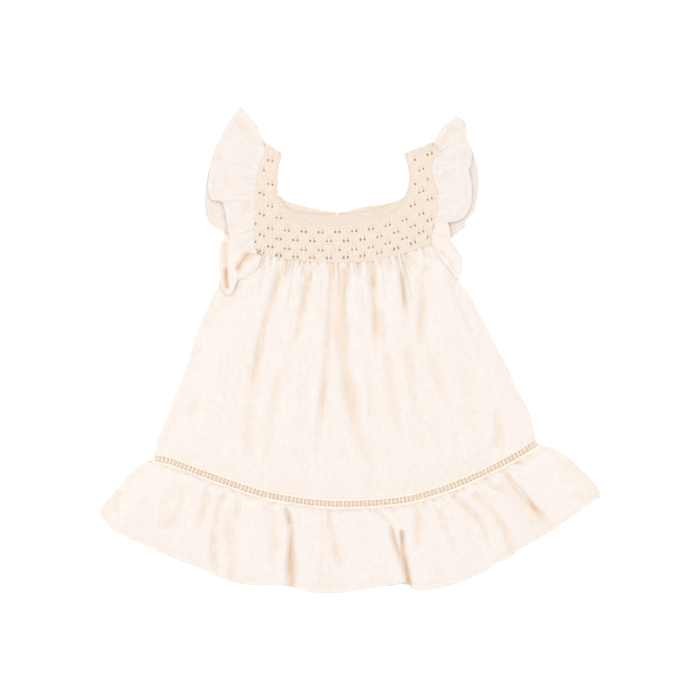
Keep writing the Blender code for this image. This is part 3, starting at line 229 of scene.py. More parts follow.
LEFT_FRILL = [Flap(*row) for row in [
    (89.8, 138.0, 103.4, 139.6, 3.3, 3.6, 3.4), (89.4, 132.4, 104.4, 135.4, 3.9, 4.8, 3.8),
    (87.4, 125.0, 106.6, 127.6, 4.4, 5.6, 3.8), (86.2, 114.6, 107.6, 117.2, 4.2, 5.8, 3.8),
    (90.0, 104.8, 112.8, 109.6, 3.2, 5.6, 3.8), (95.8, 97.2, 118.4, 101.2, 3.2, 5.8, 3.8),
    (102.4, 89.6, 119.8, 92.4, 3.2, 5.6, 3.8), (108.2, 81.8, 118.6, 83.0, 3.2, 5.0, 3.7),
    (112.0, 75.6, 115.4, 74.4, 3.2, 4.0, 3.6),
]]

# ---------------------------------------------------------------- folds
# A fold is a trough along a path from its head to its foot: a narrow core within a broad shoulder on the
# wearer's right and left. Each fade is the share of its length over which it dies out at that end. A
# negative depth is a ridge.
Fold = namedtuple("Fold", "depth core right left fade_head fade_foot path")
SKIRT_FOLDS = [
    Fold(5.5, 5.0, 8, 8, 0.15, 0.4, [(-12, 78), (-11, 45), (-10, 10), (-6, -14)]),
    Fold(6.2, 3.0, 6, 9, 0, 0.35, [(-73.8, 89.3), (-78.6, 72.2), (-87.7, 40.1), (-95.2, 10.2),
        (-101.6, -24.1), (-107.5, -54)]),
    Fold(3.2, 8.0, 10, 12, 0.3, 0.3, [(-94.6, 15.5), (-101.1, -16.6), (-105.3, -54), (-109.1, -86.1),
        (-107.5, -112.9), (-98.9, -134.3)]),
    Fold(6.0, 3.2, 8, 10, 0, 0.3, [(-43, 88), (-44.4, 78.6), (-48.1, 61.5), (-51.8, 40.1), (-57.2, 15.5),
        (-63.6, -2.7)]),
    Fold(2.8, 5.5, 9, 9, 0.3, 0.4, [(-57.2, 15.5), (-66.8, -13.4), (-76.5, -34.8), (-82.9, -56.2),
        (-87.2, -91.5), (-90.4, -118.2), (-78.6, -137.5)]),
    Fold(5.4, 3.4, 5, 8.7, 0, 0.35, [(-16.5, 87.2), (-20.3, 69), (-21.9, 47.6), (-23.5, 10.2),
        (-25.1, -16.6), (-28.8, -43.3), (-32, -75.4), (-34.7, -107.5), (-37.9, -134.3)]),
    Fold(6.6, 6.0, 8.7, 10.2, 0.02, 0.4, [(-10.6, 89.3), (-9, 63.7), (-10.1, 31.6), (-9.6, 4.8),
        (-4.8, -30.5), (0.6, -54), (4.9, -80.8), (12.4, -102.2), (25.2, -123.6), (35.9, -139.6)]),
    Fold(4.4, 1.3, 3, 3, 0, 0.5, [(-75.4, 92.0), (-78.0, 83.0), (-80.7, 72.2)]),
    Fold(3.6, 1.3, 3, 3, 0, 0.5, [(-41.1, 91.0), (-42.2, 72.2)]),
    Fold(4.4, 1.3, 3, 3, 0, 0.5, [(-18.5, 90.5), (-20.1, 66.9)]),
    Fold(4.4, 1.3, 3, 3, 0, 0.5, [(-12.0, 90.5), (-9.0, 66.9)]),
    Fold(4.0, 1.3, 3, 3, 0, 0.5, [(-2.9, 90.5), (-3.7, 72.2), (-4.8, 61.5)]),
    Fold(5.4, 1.3, 3, 3, 0, 0.4, [(24.1, 93.5), (25.2, 63.7)]),
    Fold(5.4, 1.3, 3, 3, 0, 0.6, [(55.2, 99.5), (56.6, 66.9), (59.1, 40.1)]),
    Fold(2.7, 2.1, 4.3, 4.3, 0, 0.5, [(8.6, 91.5), (8.6, 70.1)]),
    Fold(6.6, 2.8, 6, 9, 0, 0.5, [(23.6, 91.5), (24.3, 63.7), (26.3, 33.7), (26.8, 4.8), (27.3, -16.6)]),
    Fold(3.4, 5.5, 6, 9, 0.25, 0.3, [(29.5, 47.6), (32.7, 26.2), (35.9, 4.8)]),
    Fold(3.4, 5.0, 9, 9, 0.3, 0.4, [(35.9, 20.9), (40.2, -11.2), (43.4, -38), (46.6, -59.4), (51.9, -80.8),
        (57.3, -102.2)]),
    Fold(1.8, 4.0, 7, 7, 0.3, 0.3, [(18.8, -27.3), (20.9, -54), (23.1, -80.8)]),
    Fold(4.6, 2.3, 5.8, 7.2, 0.2, 0.6, [(54.6, 91.5), (57.8, 55.1), (60, 33.7), (60.5, 20)]),
    Fold(2.4, 5.5, 9, 9, 0.3, 0.4, [(59.4, 15.5), (61.6, -11.2), (65.9, -43.3), (70.1, -64.7)]),
    Fold(3.2, 2.1, 4.3, 5.8, 0, 0.5, [(57.3, 95.8), (61.6, 87.2), (68, 75.4)]),
    Fold(2.7, 1.9, 4.3, 4.3, 0, 0.6, [(63.8, 99.0), (67, 92.6), (72, 84)]),
    Fold(4.2, 3.5, 7.2, 10.2, 0.05, 0.5, [(79.2, 91.5), (76, 63.7), (76.6, 46.5), (73.9, 20.9),
        (72.3, 4.8), (73.3, -13.4)]),
    Fold(2.7, 4.2, 8.7, 10.2, 0.3, 0.4, [(78.7, -0.5), (89.9, -17.7), (101.2, -51.9), (108.7, -70.1)]),
    Fold(2.0, 3.0, 6, 6, 0.15, 0.4, [(95.8, 89.3), (108.7, 65.8), (121.5, 35.8), (134.3, 8),
        (149.3, -21.9)]),
    Fold(4.6, 5.5, 10.2, 11.6, 0.3, 0.15, [(151.5, -59.4), (156.8, -77.6), (158.9, -96.8),
        (151.5, -109.7)]),
    Fold(1.9, 1.9, 4.3, 4.3, 0.4, 0.4, [(188.9, -84), (178.2, -96.8)]),
    Fold(2.2, 7.1, 9, 9, 0.3, 0.4, [(-154.6, -38), (-170.6, -64.7), (-180.2, -75.4)]),
    Fold(1.6, 2.3, 5.8, 5.8, 0.3, 0.3, [(-201, -80), (-201, -112)]),
    Fold(2.0, 4.0, 8, 8, 0.2, 0.4, [(-94.6, 82.9), (-103.2, 65.8), (-111.8, 53)]),
    Fold(3.0, 8.0, 9, 9, 0.2, 0.3, [(-126.7, 57.2), (-137.4, 46.5), (-148.1, 33.7), (-157.8, 14.4)]),
]
SKIRT_PRESSED = [
    Fold(7.0, 13, 13, 13, 0.0, 0.0, [(-128, 66), (-116, 78), (-98, 95)]),
    Fold(7.0, 13, 13, 13, 0.0, 0.0, [(116, 80), (104, 94), (88, 108)]),
]
RUFFLE_FOLDS = [
    Fold(3.0, 4.0, 8, 8, 0.2, 0.3, [(-177, -137.5), (-181.3, -161), (-190.9, -182.4), (-205.9, -195.3)]),
    Fold(3.4, 2.6, 7, 8.4, 0.1, 0.5, [(-153.5, -143.9), (-153, -155.7), (-159.9, -182.4), (-163.1, -200)]),
    Fold(4.2, 3.2, 8.4, 9.8, 0.1, 0.1, [(-131, -148.2), (-137.4, -158.9), (-142.8, -182.4), (-146, -209.2),
        (-142.8, -241.3)]),
    Fold(3.4, 6.0, 9, 11.2, 0.3, 0, [(-130, -166.4), (-127.8, -203.8), (-126.7, -246.6)]),
    Fold(2.6, 2.6, 7, 7, 0.1, 0.5, [(-118.2, -156.8), (-120.3, -171.7), (-124.6, -188.9)]),
    Fold(3.2, 7.2, 9, 9, 0.1, 0.3, [(-86.1, -161), (-81.8, -182.4), (-80.7, -209.2), (-86.1, -235.9)]),
    Fold(9.0, 2.7, 4.4, 4.4, 0.15, 0, [(-70, -163), (-66.8, -176), (-63.6, -193.1), (-64.7, -230.6),
        (-64.7, -252)]),
    Fold(5.0, 5.4, 6, 6, 0.6, 0, [(-62.5, -200), (-61, -230), (-59.5, -253)]),
    Fold(2.6, 1.9, 5.6, 5.6, 0.1, 0.5, [(-55.1, -171.7), (-56.1, -187.8), (-58.8, -204.9)]),
    Fold(4.2, 2.2, 7, 8.4, 0.05, 0.3, [(-24, -169.6), (-18.1, -204.9), (-10.1, -239.1)]),
    Fold(3.0, 3.0, 6, 5.6, 0.2, 0.3, [(22, -170), (34.8, -177.1), (42.3, -187.8)]),
    Fold(7.5, 1.9, 4, 4, 0.2, 0.1, [(41, -184), (45.5, -198.5), (49.8, -212.4), (54.1, -223.1),
        (57.5, -230)]),
    Fold(11, 1.9, 3.6, 3.2, 0.1, 0, [(54.6, -190.5), (55.4, -203.8), (56, -216.7), (57.8, -227.4),
        (60, -238.1), (62.4, -251)]),
    Fold(6.0, 2.6, 4, 4, 0.4, 0, [(56, -214), (59, -232), (62.4, -250)]),
    Fold(3.6, 3.2, 7, 8.4, 0.05, 0.5, [(71.2, -164.2), (72.3, -180.3), (71.2, -212.4), (69.1, -227.4)]),
    Fold(2.8, 3.2, 8.4, 9.8, 0.05, 0.4, [(93.7, -169.6), (105.4, -199.6), (114, -227.4)]),
    Fold(4.9, 3.2, 8.4, 9.8, 0.05, 0.4, [(107.4, -154.6), (123.5, -167.5), (140.6, -186.7),
        (150.2, -221)]),
    Fold(4.4, 3.9, 9.8, 9, 0.05, 0.1, [(130.1, -151.4), (142.9, -164.2), (160, -184.6), (169.7, -209.2),
        (172.9, -225.2)]),
    Fold(2.6, 1.7, 4.2, 5.6, 0.1, 0.5, [(144, -139.6), (150.4, -146.1), (161.1, -149.3), (175, -160)]),
    Fold(4.6, 2.2, 24, 4.4, 0.1, 0.2, [(164, -130), (172, -140.5), (181, -151.5), (191.5, -163.5),
        (202, -175), (211.5, -186)]),
    Fold(1.2, 2.2, 4.4, 2.4, 0.1, 0.05, [(163, -129), (171, -140), (180, -151), (190.5, -163),
        (201, -174.5), (210.5, -185.5)]),
    Fold(1.4, 4.2, 11.2, 11.2, 0.3, 0.3, [(230.6, -153.5), (240.3, -157.8), (247.8, -150.3)]),
    Fold(3.0, 4.5, 7, 4, 0.2, 0.2, [(-247.7, -148.2), (-248.2, -161), (-249.8, -177.1)]),
    Fold(-2.1, 2.6, 5.6, 5.6, 0.2, 0.2, [(-241, -142), (-244.5, -160), (-243, -190)]),
    Fold(1.2, 8.0, 12, 12, 0.3, 0.3, [(-186, -140), (-196, -168), (-200, -200)]),
]
# Broad painted shade beside the ruffle's largest folds: the depth column is its strength.
RUFFLE_SHADES = [
    Fold(0.50, 7.0, 26, 3.0, 0.2, 0.0, [(164, -130), (172, -140.5), (181, -151.5), (191.5, -163.5),
        (202, -175), (213, -188)]),
]
RIGHT_SLEEVE_FOLDS = [
    Fold(1.3, 5.5, 7, 7, 0.0, 0.1, [(-99.5, 214.5), (-109, 230), (-120, 247)]),
    Fold(1.0, 1.6, 3, 4, 0.3, 0.3, [(-128, 213.5), (-122, 207), (-118, 202)]),
    Fold(1.1, 1.6, 3, 4, 0.3, 0.3, [(-122.5, 203), (-112, 191), (-106, 183.5)]),
    Fold(1.1, 1.6, 3, 4, 0.3, 0.3, [(-118, 208), (-107.5, 196), (-101, 190)]),
    Fold(1.0, 4.0, 6, 6, 0.3, 0.3, [(-136, 200), (-133, 182), (-126, 170)]),
    Fold(1.8, 1.6, 3, 3, 0.3, 0.2, [(-118, 156.5), (-111, 150), (-105, 143.5)]),
    Fold(1.4, 1.6, 3, 3, 0.3, 0.2, [(-112, 158), (-106, 152), (-102, 148)]),
]
LEFT_SLEEVE_FOLDS = [
    Fold(1.6, 6.5, 8, 8, 0.0, 0.1, [(92, 214), (101, 224), (115, 240)]),
    Fold(-0.9, 1.6, 2.4, 2.4, 0.1, 0.2, [(90, 212.5), (97.5, 213.5), (107, 221), (123, 229)]),
    Fold(1.2, 1.4, 2.4, 2.4, 0.2, 0.2, [(96, 221), (104, 231), (110, 240)]),
    Fold(0.8, 1.8, 3, 3, 0.3, 0.3, [(109, 208), (112, 201), (114, 197)]),
    Fold(1.7, 2.0, 4, 3, 0.1, 0.2, [(92.5, 179.5), (98, 184), (104.5, 188.9), (115, 191.5)]),
]
RIGHT_FRILL_FOLDS = [
    Fold(5.0, 2.0, 3.4, 4.4, 0.0, 0.2, [(-109.5, 104), (-113.5, 98), (-118.0, 91), (-121.5, 83)]),
    Fold(2.6, 5.5, 6.0, 6.0, 0.0, 0.5, [(-105, 105), (-109, 99), (-113, 93)]),
    Fold(8.0, 1.9, 2.6, 2.6, 0.35, 0.05, [(-133.0, 92), (-133.2, 80), (-132.4, 70), (-131.6, 64)]),
    Fold(3.4, 3.0, 4.0, 4.0, 0.05, 0.4, [(-134.0, 114), (-133.6, 100), (-133.2, 84)]),
]
LEFT_FRILL_FOLDS = [
    Fold(1.7, 1.8, 3, 4, 0.1, 0.3, [(95.8, 106.5), (102.2, 98), (113, 83)]),
    Fold(1.3, 1.6, 3, 3, 0.2, 0.3, [(106.5, 93.6), (112, 85)]),
    Fold(1.2, 1.8, 3, 3, 0.1, 0.2, [(88, 121), (98, 122.5), (106, 120)]),
    Fold(1.0, 1.6, 3, 3, 0.1, 0.4, [(90, 112), (98, 114), (106, 111)]),
]

Sleeve = namedtuple("Sleeve", "shoulder shoulder_fold upper lower back folds")
RIGHT_SLEEVE = Sleeve(RIGHT_SHOULDER, RIGHT_SHOULDER_FOLD, RIGHT_FRONT_UPPER, RIGHT_FRONT_LOWER, RIGHT_BACK,
                      RIGHT_SLEEVE_FOLDS)
LEFT_SLEEVE = Sleeve(LEFT_SHOULDER, LEFT_SHOULDER_FOLD, LEFT_FRONT_UPPER, LEFT_FRONT_LOWER, LEFT_BACK,
                     LEFT_SLEEVE_FOLDS)

# Height of the trim's upper face along it, at even steps from the wearer's right to left.
TRIM_LIFT = [3.0, 3.6, 3.4, 4.2, 3.6, 4.3, 3.5, 4.2, 3.8, 4.4, 3.5, 4.2, 3.6, 4.3, 3.5, 3.6, 3.0]


# ---------------------------------------------------------------- curves and surfaces
def smooth(value):
    """0 below 0, 1 above 1, and a soft step between."""
    t = np.clip(value, 0.0, 1.0)
    return t * t * (3 - 2 * t)


def rounded(distance, radius):
    """0 at an edge rising to 1 at a radius from it, as a quarter circle."""
    t = np.clip(distance / radius, 0.0, 1.0)
    return np.sqrt(1 - (1 - t) ** 2)


def lengths_along(line):
    """Distance along a line of points to each of them."""
    return np.concatenate(([0.0], np.cumsum(np.linalg.norm(np.diff(line, axis=0), axis=1))))


def spline(points):
    """Smooth curve through the points, read at shares of its length, 0 to 1."""
    knots = np.array([tuple(p) for p in points], dtype=float)
    reach = lengths_along(knots)
    order = np.arange(len(knots))
    low = np.maximum(order - 1, 0)
    high = np.minimum(order + 1, len(knots) - 1)
    slopes = (knots[high] - knots[low]) / (reach[high] - reach[low])[:, None]

    def at(share):
        along = np.clip(np.asarray(share, dtype=float), 0.0, 1.0) * reach[-1]
        i = np.clip(np.searchsorted(reach, along, side="right") - 1, 0, len(knots) - 2)
        span = (reach[i + 1] - reach[i])[..., None]
        t = (along - reach[i])[..., None] / span
        rise = t * t * (3 - 2 * t)
        start = t * (1 - t) ** 2 * span
        finish = t * t * (t - 1) * span
        return knots[i] * (1 - rise) + knots[i + 1] * rise + slopes[i] * start + slopes[i + 1] * finish

    at.length = reach[-1]
    return at


def joined(*curves):
    """Curves end to end as one."""
    lengths = np.array([c.length for c in curves])
    starts = np.concatenate(([0.0], np.cumsum(lengths)))

    def at(share):
        along = np.clip(np.asarray(share, dtype=float), 0.0, 1.0) * starts[-1]
        which = np.clip(np.searchsorted(starts, along, side="left") - 1, 0, len(curves) - 1)
        result = np.zeros(along.shape + (2,))
        for i, curve in enumerate(curves):
            local = curve((along - starts[i]) / lengths[i])
            result = np.where((which == i)[..., None], local, result)
        return result

    at.length = starts[-1]
    return at


def moved(curve, dx, dy):
    """The same curve, moved."""
    def at(share):
        return curve(share) + np.array((dx, dy))

    at.length = curve.length
    return at


def beside(curve, distance):
    """The curve's parallel at a distance, towards +Y where the distance is positive."""
    def at(share):
        step = 0.004
        share = np.asarray(share, dtype=float)
        along = curve(np.minimum(share + step, 1.0)) - curve(np.maximum(share - step, 0.0))
        across = np.stack((-along[..., 1], along[..., 0]), axis=-1)
        across /= np.linalg.norm(across, axis=-1, keepdims=True)
        return curve(share) + across * distance

    at.length = curve.length
    return at


def side_curve(points, start, finish):
    """Side edge through the table's inner points, between the exact ends of its neighbours."""
    return spline([tuple(start)] + points[1:-1] + [tuple(finish)])


def patch(head, foot, right, left, u, v):
    """Points of the surface between four edges: u runs along head and foot, v from head to foot."""
    across = u[..., None]
    down = v[..., None]
    edges = head(u) * (1 - down) + foot(u) * down + right(v) * (1 - across) + left(v) * across
    corners = (head(0) * (1 - across) + head(1) * across) * (1 - down)
    corners = corners + (foot(0) * (1 - across) + foot(1) * across) * down
    return edges - corners


def noise(x, y, size, seed):
    """Smooth seeded unevenness, about -1 to 1, with features of about a size."""
    table = np.random.default_rng(seed).uniform(-1.0, 1.0, (64, 64))
    cell_x = np.floor(x / size)
    cell_y = np.floor(y / size)
    tx = smooth(x / size - cell_x)
    ty = smooth(y / size - cell_y)
    i = cell_x.astype(int) % 64
    j = cell_y.astype(int) % 64
    right = (i + 1) % 64
    up = (j + 1) % 64
    low = table[i, j] * (1 - tx) + table[right, j] * tx
    high = table[i, up] * (1 - tx) + table[right, up] * tx
    return low * (1 - ty) + high * ty


def crinkle(x, y, seed):
    """Fine uneven crinkle of washed cotton, in millimetres."""
    slant = 0.83 * x + 0.56 * y
    cross = 0.83 * y - 0.56 * x
    large = noise(slant, cross * 0.6, 12.0, seed) * 0.42
    middle = noise(cross, slant * 0.8, 5.6, seed + 1) * 0.22
    small = noise(x, y, 3.1, seed + 2) * 0.11
    return large + middle + small


FOLD_STEP = 6.0        # length of the straight steps that a fold's path is read in
FOLD_WAVER = 0.16      # how much its depth wavers along it
FOLD_WAVE = 11.0       # how fast


def fold_field(folds, x, y):
    """Depth of a set of folds at each point."""
    total = np.zeros_like(x)
    for fold in folds:
        curve = spline(fold.path)
        count = max(int(curve.length / FOLD_STEP), 5)
        line = curve(np.linspace(0.0, 1.0, count + 1))
        reach = 3.0 * max(fold.right, fold.left, fold.core)
        near = (x > line[:, 0].min() - reach) & (x < line[:, 0].max() + reach)
        near &= (y > line[:, 1].min() - reach) & (y < line[:, 1].max() + reach)
        if not near.any():
            continue
        px = x[near]
        py = y[near]
        distance = np.full(px.shape, 1e9)
        side = np.zeros_like(px)
        share = np.zeros_like(px)
        for i in range(count):
            start = line[i]
            run = line[i + 1] - start
            t = np.clip(((px - start[0]) * run[0] + (py - start[1]) * run[1]) / (run @ run), 0.0, 1.0)
            dx = px - start[0] - run[0] * t
            dy = py - start[1] - run[1] * t
            away = np.hypot(dx, dy)
            closer = away < distance
            distance = np.where(closer, away, distance)
            side = np.where(closer, run[0] * dy - run[1] * dx, side)
            share = np.where(closer, (i + t) / count, share)
        spread = np.where(side > 0, fold.left, fold.right)
        fade = np.ones_like(px)
        if fold.fade_head > 0:
            fade = fade * smooth(share / fold.fade_head)
        if fold.fade_foot > 0:
            fade = fade * smooth((1 - share) / fold.fade_foot)
        waver = np.sin(share * curve.length / FOLD_WAVE + 5.0 * fold.depth)
        fade = fade * (1 - FOLD_WAVER + FOLD_WAVER * waver)
        profile = 0.5 * np.exp(-(distance / fold.core) ** 2) + 0.5 * np.exp(-(distance / spread) ** 2)
        total[near] += fold.depth * fade * profile
    return total


def sunk(height, depth, floor):
    """Heights lowered by depths, flattening out softly onto a floor."""
    soft = 0.55
    over = (height - depth - floor) / soft
    lower = floor + soft * np.where(over > 20, over, np.log1p(np.exp(np.minimum(over, 20))))
    return np.where(depth > 0, np.minimum(lower, height), height - depth)


def gathers(along, distance, length, pitch, rise, reach, seed, narrow=1.0):
    """Height of uneven gathers below a seam: narrow valleys between rounded ridges."""
    draw = np.random.default_rng(seed)
    height = np.zeros(np.broadcast(along, distance).shape)
    place = pitch * 0.3
    while place < length:
        width = narrow * pitch * draw.uniform(0.16, 0.30)
        depth = rise * draw.uniform(0.45, 1.3)
        run = reach * draw.uniform(0.4, 1.4)
        drift = draw.uniform(-0.10, 0.10)
        spread = width * (1 + 1.2 * np.maximum(distance, 0.0) / run)
        away = (along - place - drift * distance) / spread
        height -= depth * np.exp(-away ** 2) * (1 - smooth(distance / run))
        place += pitch * draw.uniform(0.55, 1.5)
    return height + 0.4 * rise * (1 - smooth(distance / reach))


# ---------------------------------------------------------------- meshes
def mesh_object(name, points, faces, material):
    """Object from points in millimetres and a list of face arrays, each with one face size."""
    mesh = bpy.data.meshes.new(name)
    mesh.vertices.add(len(points))
    mesh.vertices.foreach_set("co", (points * MM).astype(np.float32).ravel())
    corners = np.concatenate([f.ravel() for f in faces])
    sizes = np.concatenate([np.full(len(f), f.shape[1]) for f in faces])
    starts = np.cumsum(sizes) - sizes
    mesh.loops.add(len(corners))
    mesh.loops.foreach_set("vertex_index", corners.astype(np.int32))
    mesh.polygons.add(len(sizes))
    mesh.polygons.foreach_set("loop_start", starts.astype(np.int32))
    mesh.polygons.foreach_set("loop_total", sizes.astype(np.int32))
    mesh.update(calc_edges=True)
    mesh.validate()
    mesh.shade_smooth()
    mesh.materials.append(material)
    made = bpy.data.objects.new(name, mesh)
    bpy.context.scene.collection.objects.link(made)
    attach(made, "root")
    return made


def point_layer(made, title, values):
    """Layer of numbers or vectors that the material reads, one for each point of the mesh."""
    kind, key = ("FLOAT", "value") if values.ndim == 1 else ("FLOAT_VECTOR", "vector")
    layer = made.data.attributes.new(title, kind, "POINT")
    layer.data.foreach_set(key, values.astype(np.float32).ravel())


def quads_of(number):
    """Quads of a grid, from the grid of its points' numbers."""
    return np.stack((number[:-1, :-1], number[1:, :-1], number[1:, 1:], number[:-1, 1:]), axis=-1)


def blurred(field, radius):
    """Field averaged over a square window of a radius in samples."""
    for axis in (0, 1):
        pad = [(0, 0), (0, 0)]
        pad[axis] = (radius + 1, radius)
        total = np.cumsum(np.pad(field, pad, mode="edge"), axis=axis)
        span = 2 * radius + 1
        high = np.take(total, np.arange(span, total.shape[axis]), axis=axis)
        low = np.take(total, np.arange(0, total.shape[axis] - span), axis=axis)
        field = (high - low) / span
    return field


def hollows(height, spacing):
    """How far each point lies below its surroundings, from -0.3 to 2."""
    def mean_within(radius):
        samples = int(radius / spacing)
        return blurred(blurred(height, samples), samples)

    wide = mean_within(8.0) - mean_within(1.6)
    narrow = mean_within(2.6) - height
    return np.clip(blurred(wide / 3.9 + narrow / 2.8, int(0.8 / spacing)), -0.3, 2.0)


def grid_normals(grid):
    """Unit normals of a grid of points."""
    down = np.gradient(grid, axis=0)
    across = np.gradient(grid, axis=1)
    normal = np.cross(down, across)
    return normal / np.maximum(np.linalg.norm(normal, axis=-1, keepdims=True), 1e-9)


def fan(near, far):
    """Triangles of the strip between a fine border and a coarse one, given as lists of vertex numbers."""
    step = (len(near) - 1) // (len(far) - 1)
    made = []
    for i in range(len(far) - 1):
        a = far[i]
        b = far[i + 1]
        run = near[i * step:(i + 1) * step + 1]
        half = step // 2
        for k in range(step):
            made.append((run[k], a if k < half else b, run[k + 1]))
        made.append((a, b, run[half]))
    return made


def shell(name, grid, every, floor, material, hollow=None, crease=None, ceiling=None):
    """Closed cloth wall under a grid of outer points.

    Its inner face has a point for every few outer ones, and stays between the floor and the ceiling.
    """
    inner = (grid - grid_normals(grid) * CLOTH)[::every, ::every]
    inner[..., 2] = np.clip(inner[..., 2], floor, ceiling)
    outer_number = np.arange(grid[..., 0].size).reshape(grid.shape[:2])
    inner_number = outer_number.size + np.arange(inner[..., 0].size).reshape(inner.shape[:2])
    outer_faces = quads_of(outer_number).reshape(-1, 4)
    inner_faces = quads_of(inner_number).reshape(-1, 4)[:, ::-1]
    border = []
    for place, turned in ((np.s_[0], True), (np.s_[-1], False), (np.s_[:, 0], False), (np.s_[:, -1], True)):
        strip = fan(list(outer_number[place]), list(inner_number[place]))
        border += [triangle[::-1] for triangle in strip] if turned else strip
    points = np.concatenate((grid.reshape(-1, 3), inner.reshape(-1, 3)))
    made = mesh_object(name, points, [outer_faces, inner_faces, np.array(border)], material)
    # Layers of painted shade that the material reads: the hollows and the fine creases.
    for title, field in (("hollow", hollow), ("crease", crease)):
        if field is None:
            field = np.zeros(grid.shape[:2])
        point_layer(made, title, np.concatenate((field.ravel(), field[::every, ::every].ravel())))
    return made


def steps(count, every):
    """The count nearest below that leaves a whole number of coarse steps."""
    return (count - 1) // every * every + 1


def pierced_wall(name, plan, top, under, inside, material, layers):
    """Closed knitted wall between two heights of a plan, without the faces that have a point inside a hole.

    layers names vectors for the material, one for each point of the plan.
    """
    count = inside.size
    keep = ~quads_of(inside).any(axis=-1)
    quads = quads_of(np.arange(count).reshape(inside.shape))[keep]
    edges = np.concatenate([quads[:, [i, (i + 1) % 4]] for i in range(4)])
    key = edges[:, 0] * count + edges[:, 1]
    back = edges[:, 1] * count + edges[:, 0]
    rim = edges[~np.isin(key, back)]
    walls = np.stack((rim[:, 1], rim[:, 0], rim[:, 0] + count, rim[:, 1] + count), axis=-1)
    faces = np.concatenate((quads, quads[:, ::-1] + count, walls))
    points = np.concatenate([with_height(plan, height).reshape(-1, 3) for height in (top, under)])
    used = np.unique(faces)
    renumber = np.zeros(len(points), dtype=int)
    renumber[used] = np.arange(len(used))
    made = mesh_object(name, points[used], [renumber[faces]], material)
    for title, vectors in layers.items():
        point_layer(made, title, np.tile(vectors.reshape(-1, 3), (2, 1))[used])
    return made


# ---------------------------------------------------------------- shared edges
yoke_seam = spline(YOKE_SEAM)
trim_line = spline(TRIM_LINE)
trim_lift = spline(list(enumerate(TRIM_LIFT)))
skirt_head = joined(spline(RIGHT_ARMHOLE), moved(yoke_seam, 0, SEAM_TUCK), spline(LEFT_ARMHOLE))
skirt_foot = beside(trim_line, TRIM_HEIGHT / 2 - SEAM_TUCK)
ruffle_head = beside(trim_line, -TRIM_HEIGHT / 2 + SEAM_TUCK)
hem_line = spline(HEM)
skirt_sides = (side_curve(RIGHT_SIDE, skirt_head(0), skirt_foot(0)),
               side_curve(LEFT_SIDE, skirt_head(1), skirt_foot(1)))
ruffle_sides = (side_curve(RUFFLE_RIGHT, ruffle_head(0), hem_line(0)),
                side_curve(RUFFLE_LEFT, ruffle_head(1), hem_line(1)))
seam_points = yoke_seam(np.linspace(0.0, 1.0, 200))


def seam_y(x):
    """The yoke seam's y at x, level beyond its two ends."""
    return np.interp(x, seam_points[:, 0], seam_points[:, 1])


def lift_at(share):
    """Height of the upper face at the trim's line."""
    return trim_lift(share)[..., 1]


def front_trim_at(share):
    """Height of the middle of the front trim."""
    return lift_at(share) - FRONT_TRIM_SINK


def back_trim_at(share):
    """Height of the middle of the back trim."""
    return np.maximum(lift_at(share) - BACK_TRIM_SINK, BACK_TRIM_LOW)


def with_height(plan, height):
    """Points of a plan at their heights."""
    return np.concatenate((plan, height[..., None]), axis=-1)


# ---------------------------------------------------------------- panels
# share runs across the panel from 0 to 1, along is the distance along its head, edge is the distance from
# the nearer side, and width is that of each row.
Panel = namedtuple("Panel", "plan x y share width along edge from_head from_foot")


def panel(head, foot, sides, length, rows, columns, every):
    """Grid of a panel between its four edges, with each point's distances from them."""
    down = np.linspace(0.0, 1.0, steps(rows, every))
    across = np.linspace(0.0, 1.0, steps(columns, every))
    v, u = np.meshgrid(down, across, indexing="ij")
    plan = patch(head, foot, *sides, u, v)
    width = np.linalg.norm(plan[:, -1] - plan[:, 0], axis=-1)[:, None]
    return Panel(plan, plan[..., 0], plan[..., 1], u, width, u * head.length, np.minimum(u, 1 - u) * width,
                 v * length, (1 - v) * length)


def mean_length(sides):
    """Mean length of a panel's two sides."""
    return (sides[0].length + sides[1].length) / 2


# ---------------------------------------------------------------- front skirt and ruffle
FRONT_EVERY = 6
FRONT_LOW = 2.2        # lowest upper face of the front over the back
YOKE_UNDER = 1.9       # upper face of the cloth where it runs under the yoke
TRIM_DIP = 1.5         # how far the cloth dips to run under the trim
FRONT_INNER_LOW = 0.15  # lowest lower face of the front
FOLD_SHADE = 0.05       # painted shade: warmth of a fold for each millimetre of its depth
CREASE_WARM_SHADE = 0.3      # painted shade: warmth at the bottom of a fine crease
CREASE_DEEP = 1.6      # depth at which a fine crease has its full painted shade
EDGE_FADE = 5.0        # the painted shade fades this near to the side seams
HEM_RISE = 0.42        # the sewn hem's second layer
HEM_GROOVE = 0.34      # depth of the line that the hem's stitches pull in
SKIRT_ROWS = 240
SKIRT_COLUMNS = 356
SKIRT_SPACING = 1.05   # between the skirt's grid points
RUFFLE_ROWS = 126
RUFFLE_COLUMNS = 596
RUFFLE_SPACING = 0.8
# Gathers below a seam: their pitch, depth, reach down from the seam and seed. The last number of the fine
# ones, which also get painted shade as creases, narrows them.
SKIRT_GATHERS = [(8.4, 2.8, 32.0, 21), (4.4, 1.3, 19.0, 22)]
SKIRT_FINE = (7.5, 2.2, 44.0, 23, 0.45)
RUFFLE_GATHERS = [(11.0, 1.8, 26.0, 42), (5.0, 0.7, 9.0, 43)]
RUFFLE_FINE = (6.5, 1.3, 16.0, 50, 0.5)
SKIRT_PLAIN = (12.0, 8.0)     # stretches at the yoke seam's right and left ends where the gathers begin
SKIRT_RUCHED = 34.0    # stretch below a seam where the painted shade of the hollows is stronger
RUFFLE_RUCHED = 24.0


def painted_shade_of(p, z, spacing, depth, near_seam, stretch, size, seed):
    """Painted shade in a front panel's hollows and folds, a little uneven along the gathers and all over."""
    hollow = hollows(z, spacing) * (0.8 + 0.5 * near_seam) + FOLD_SHADE * depth
    hollow = hollow + 0.10 * noise(p.along, p.from_head * stretch, size, seed)
    return hollow + 0.05 * noise(p.x, p.y, 6.0, seed + 1)


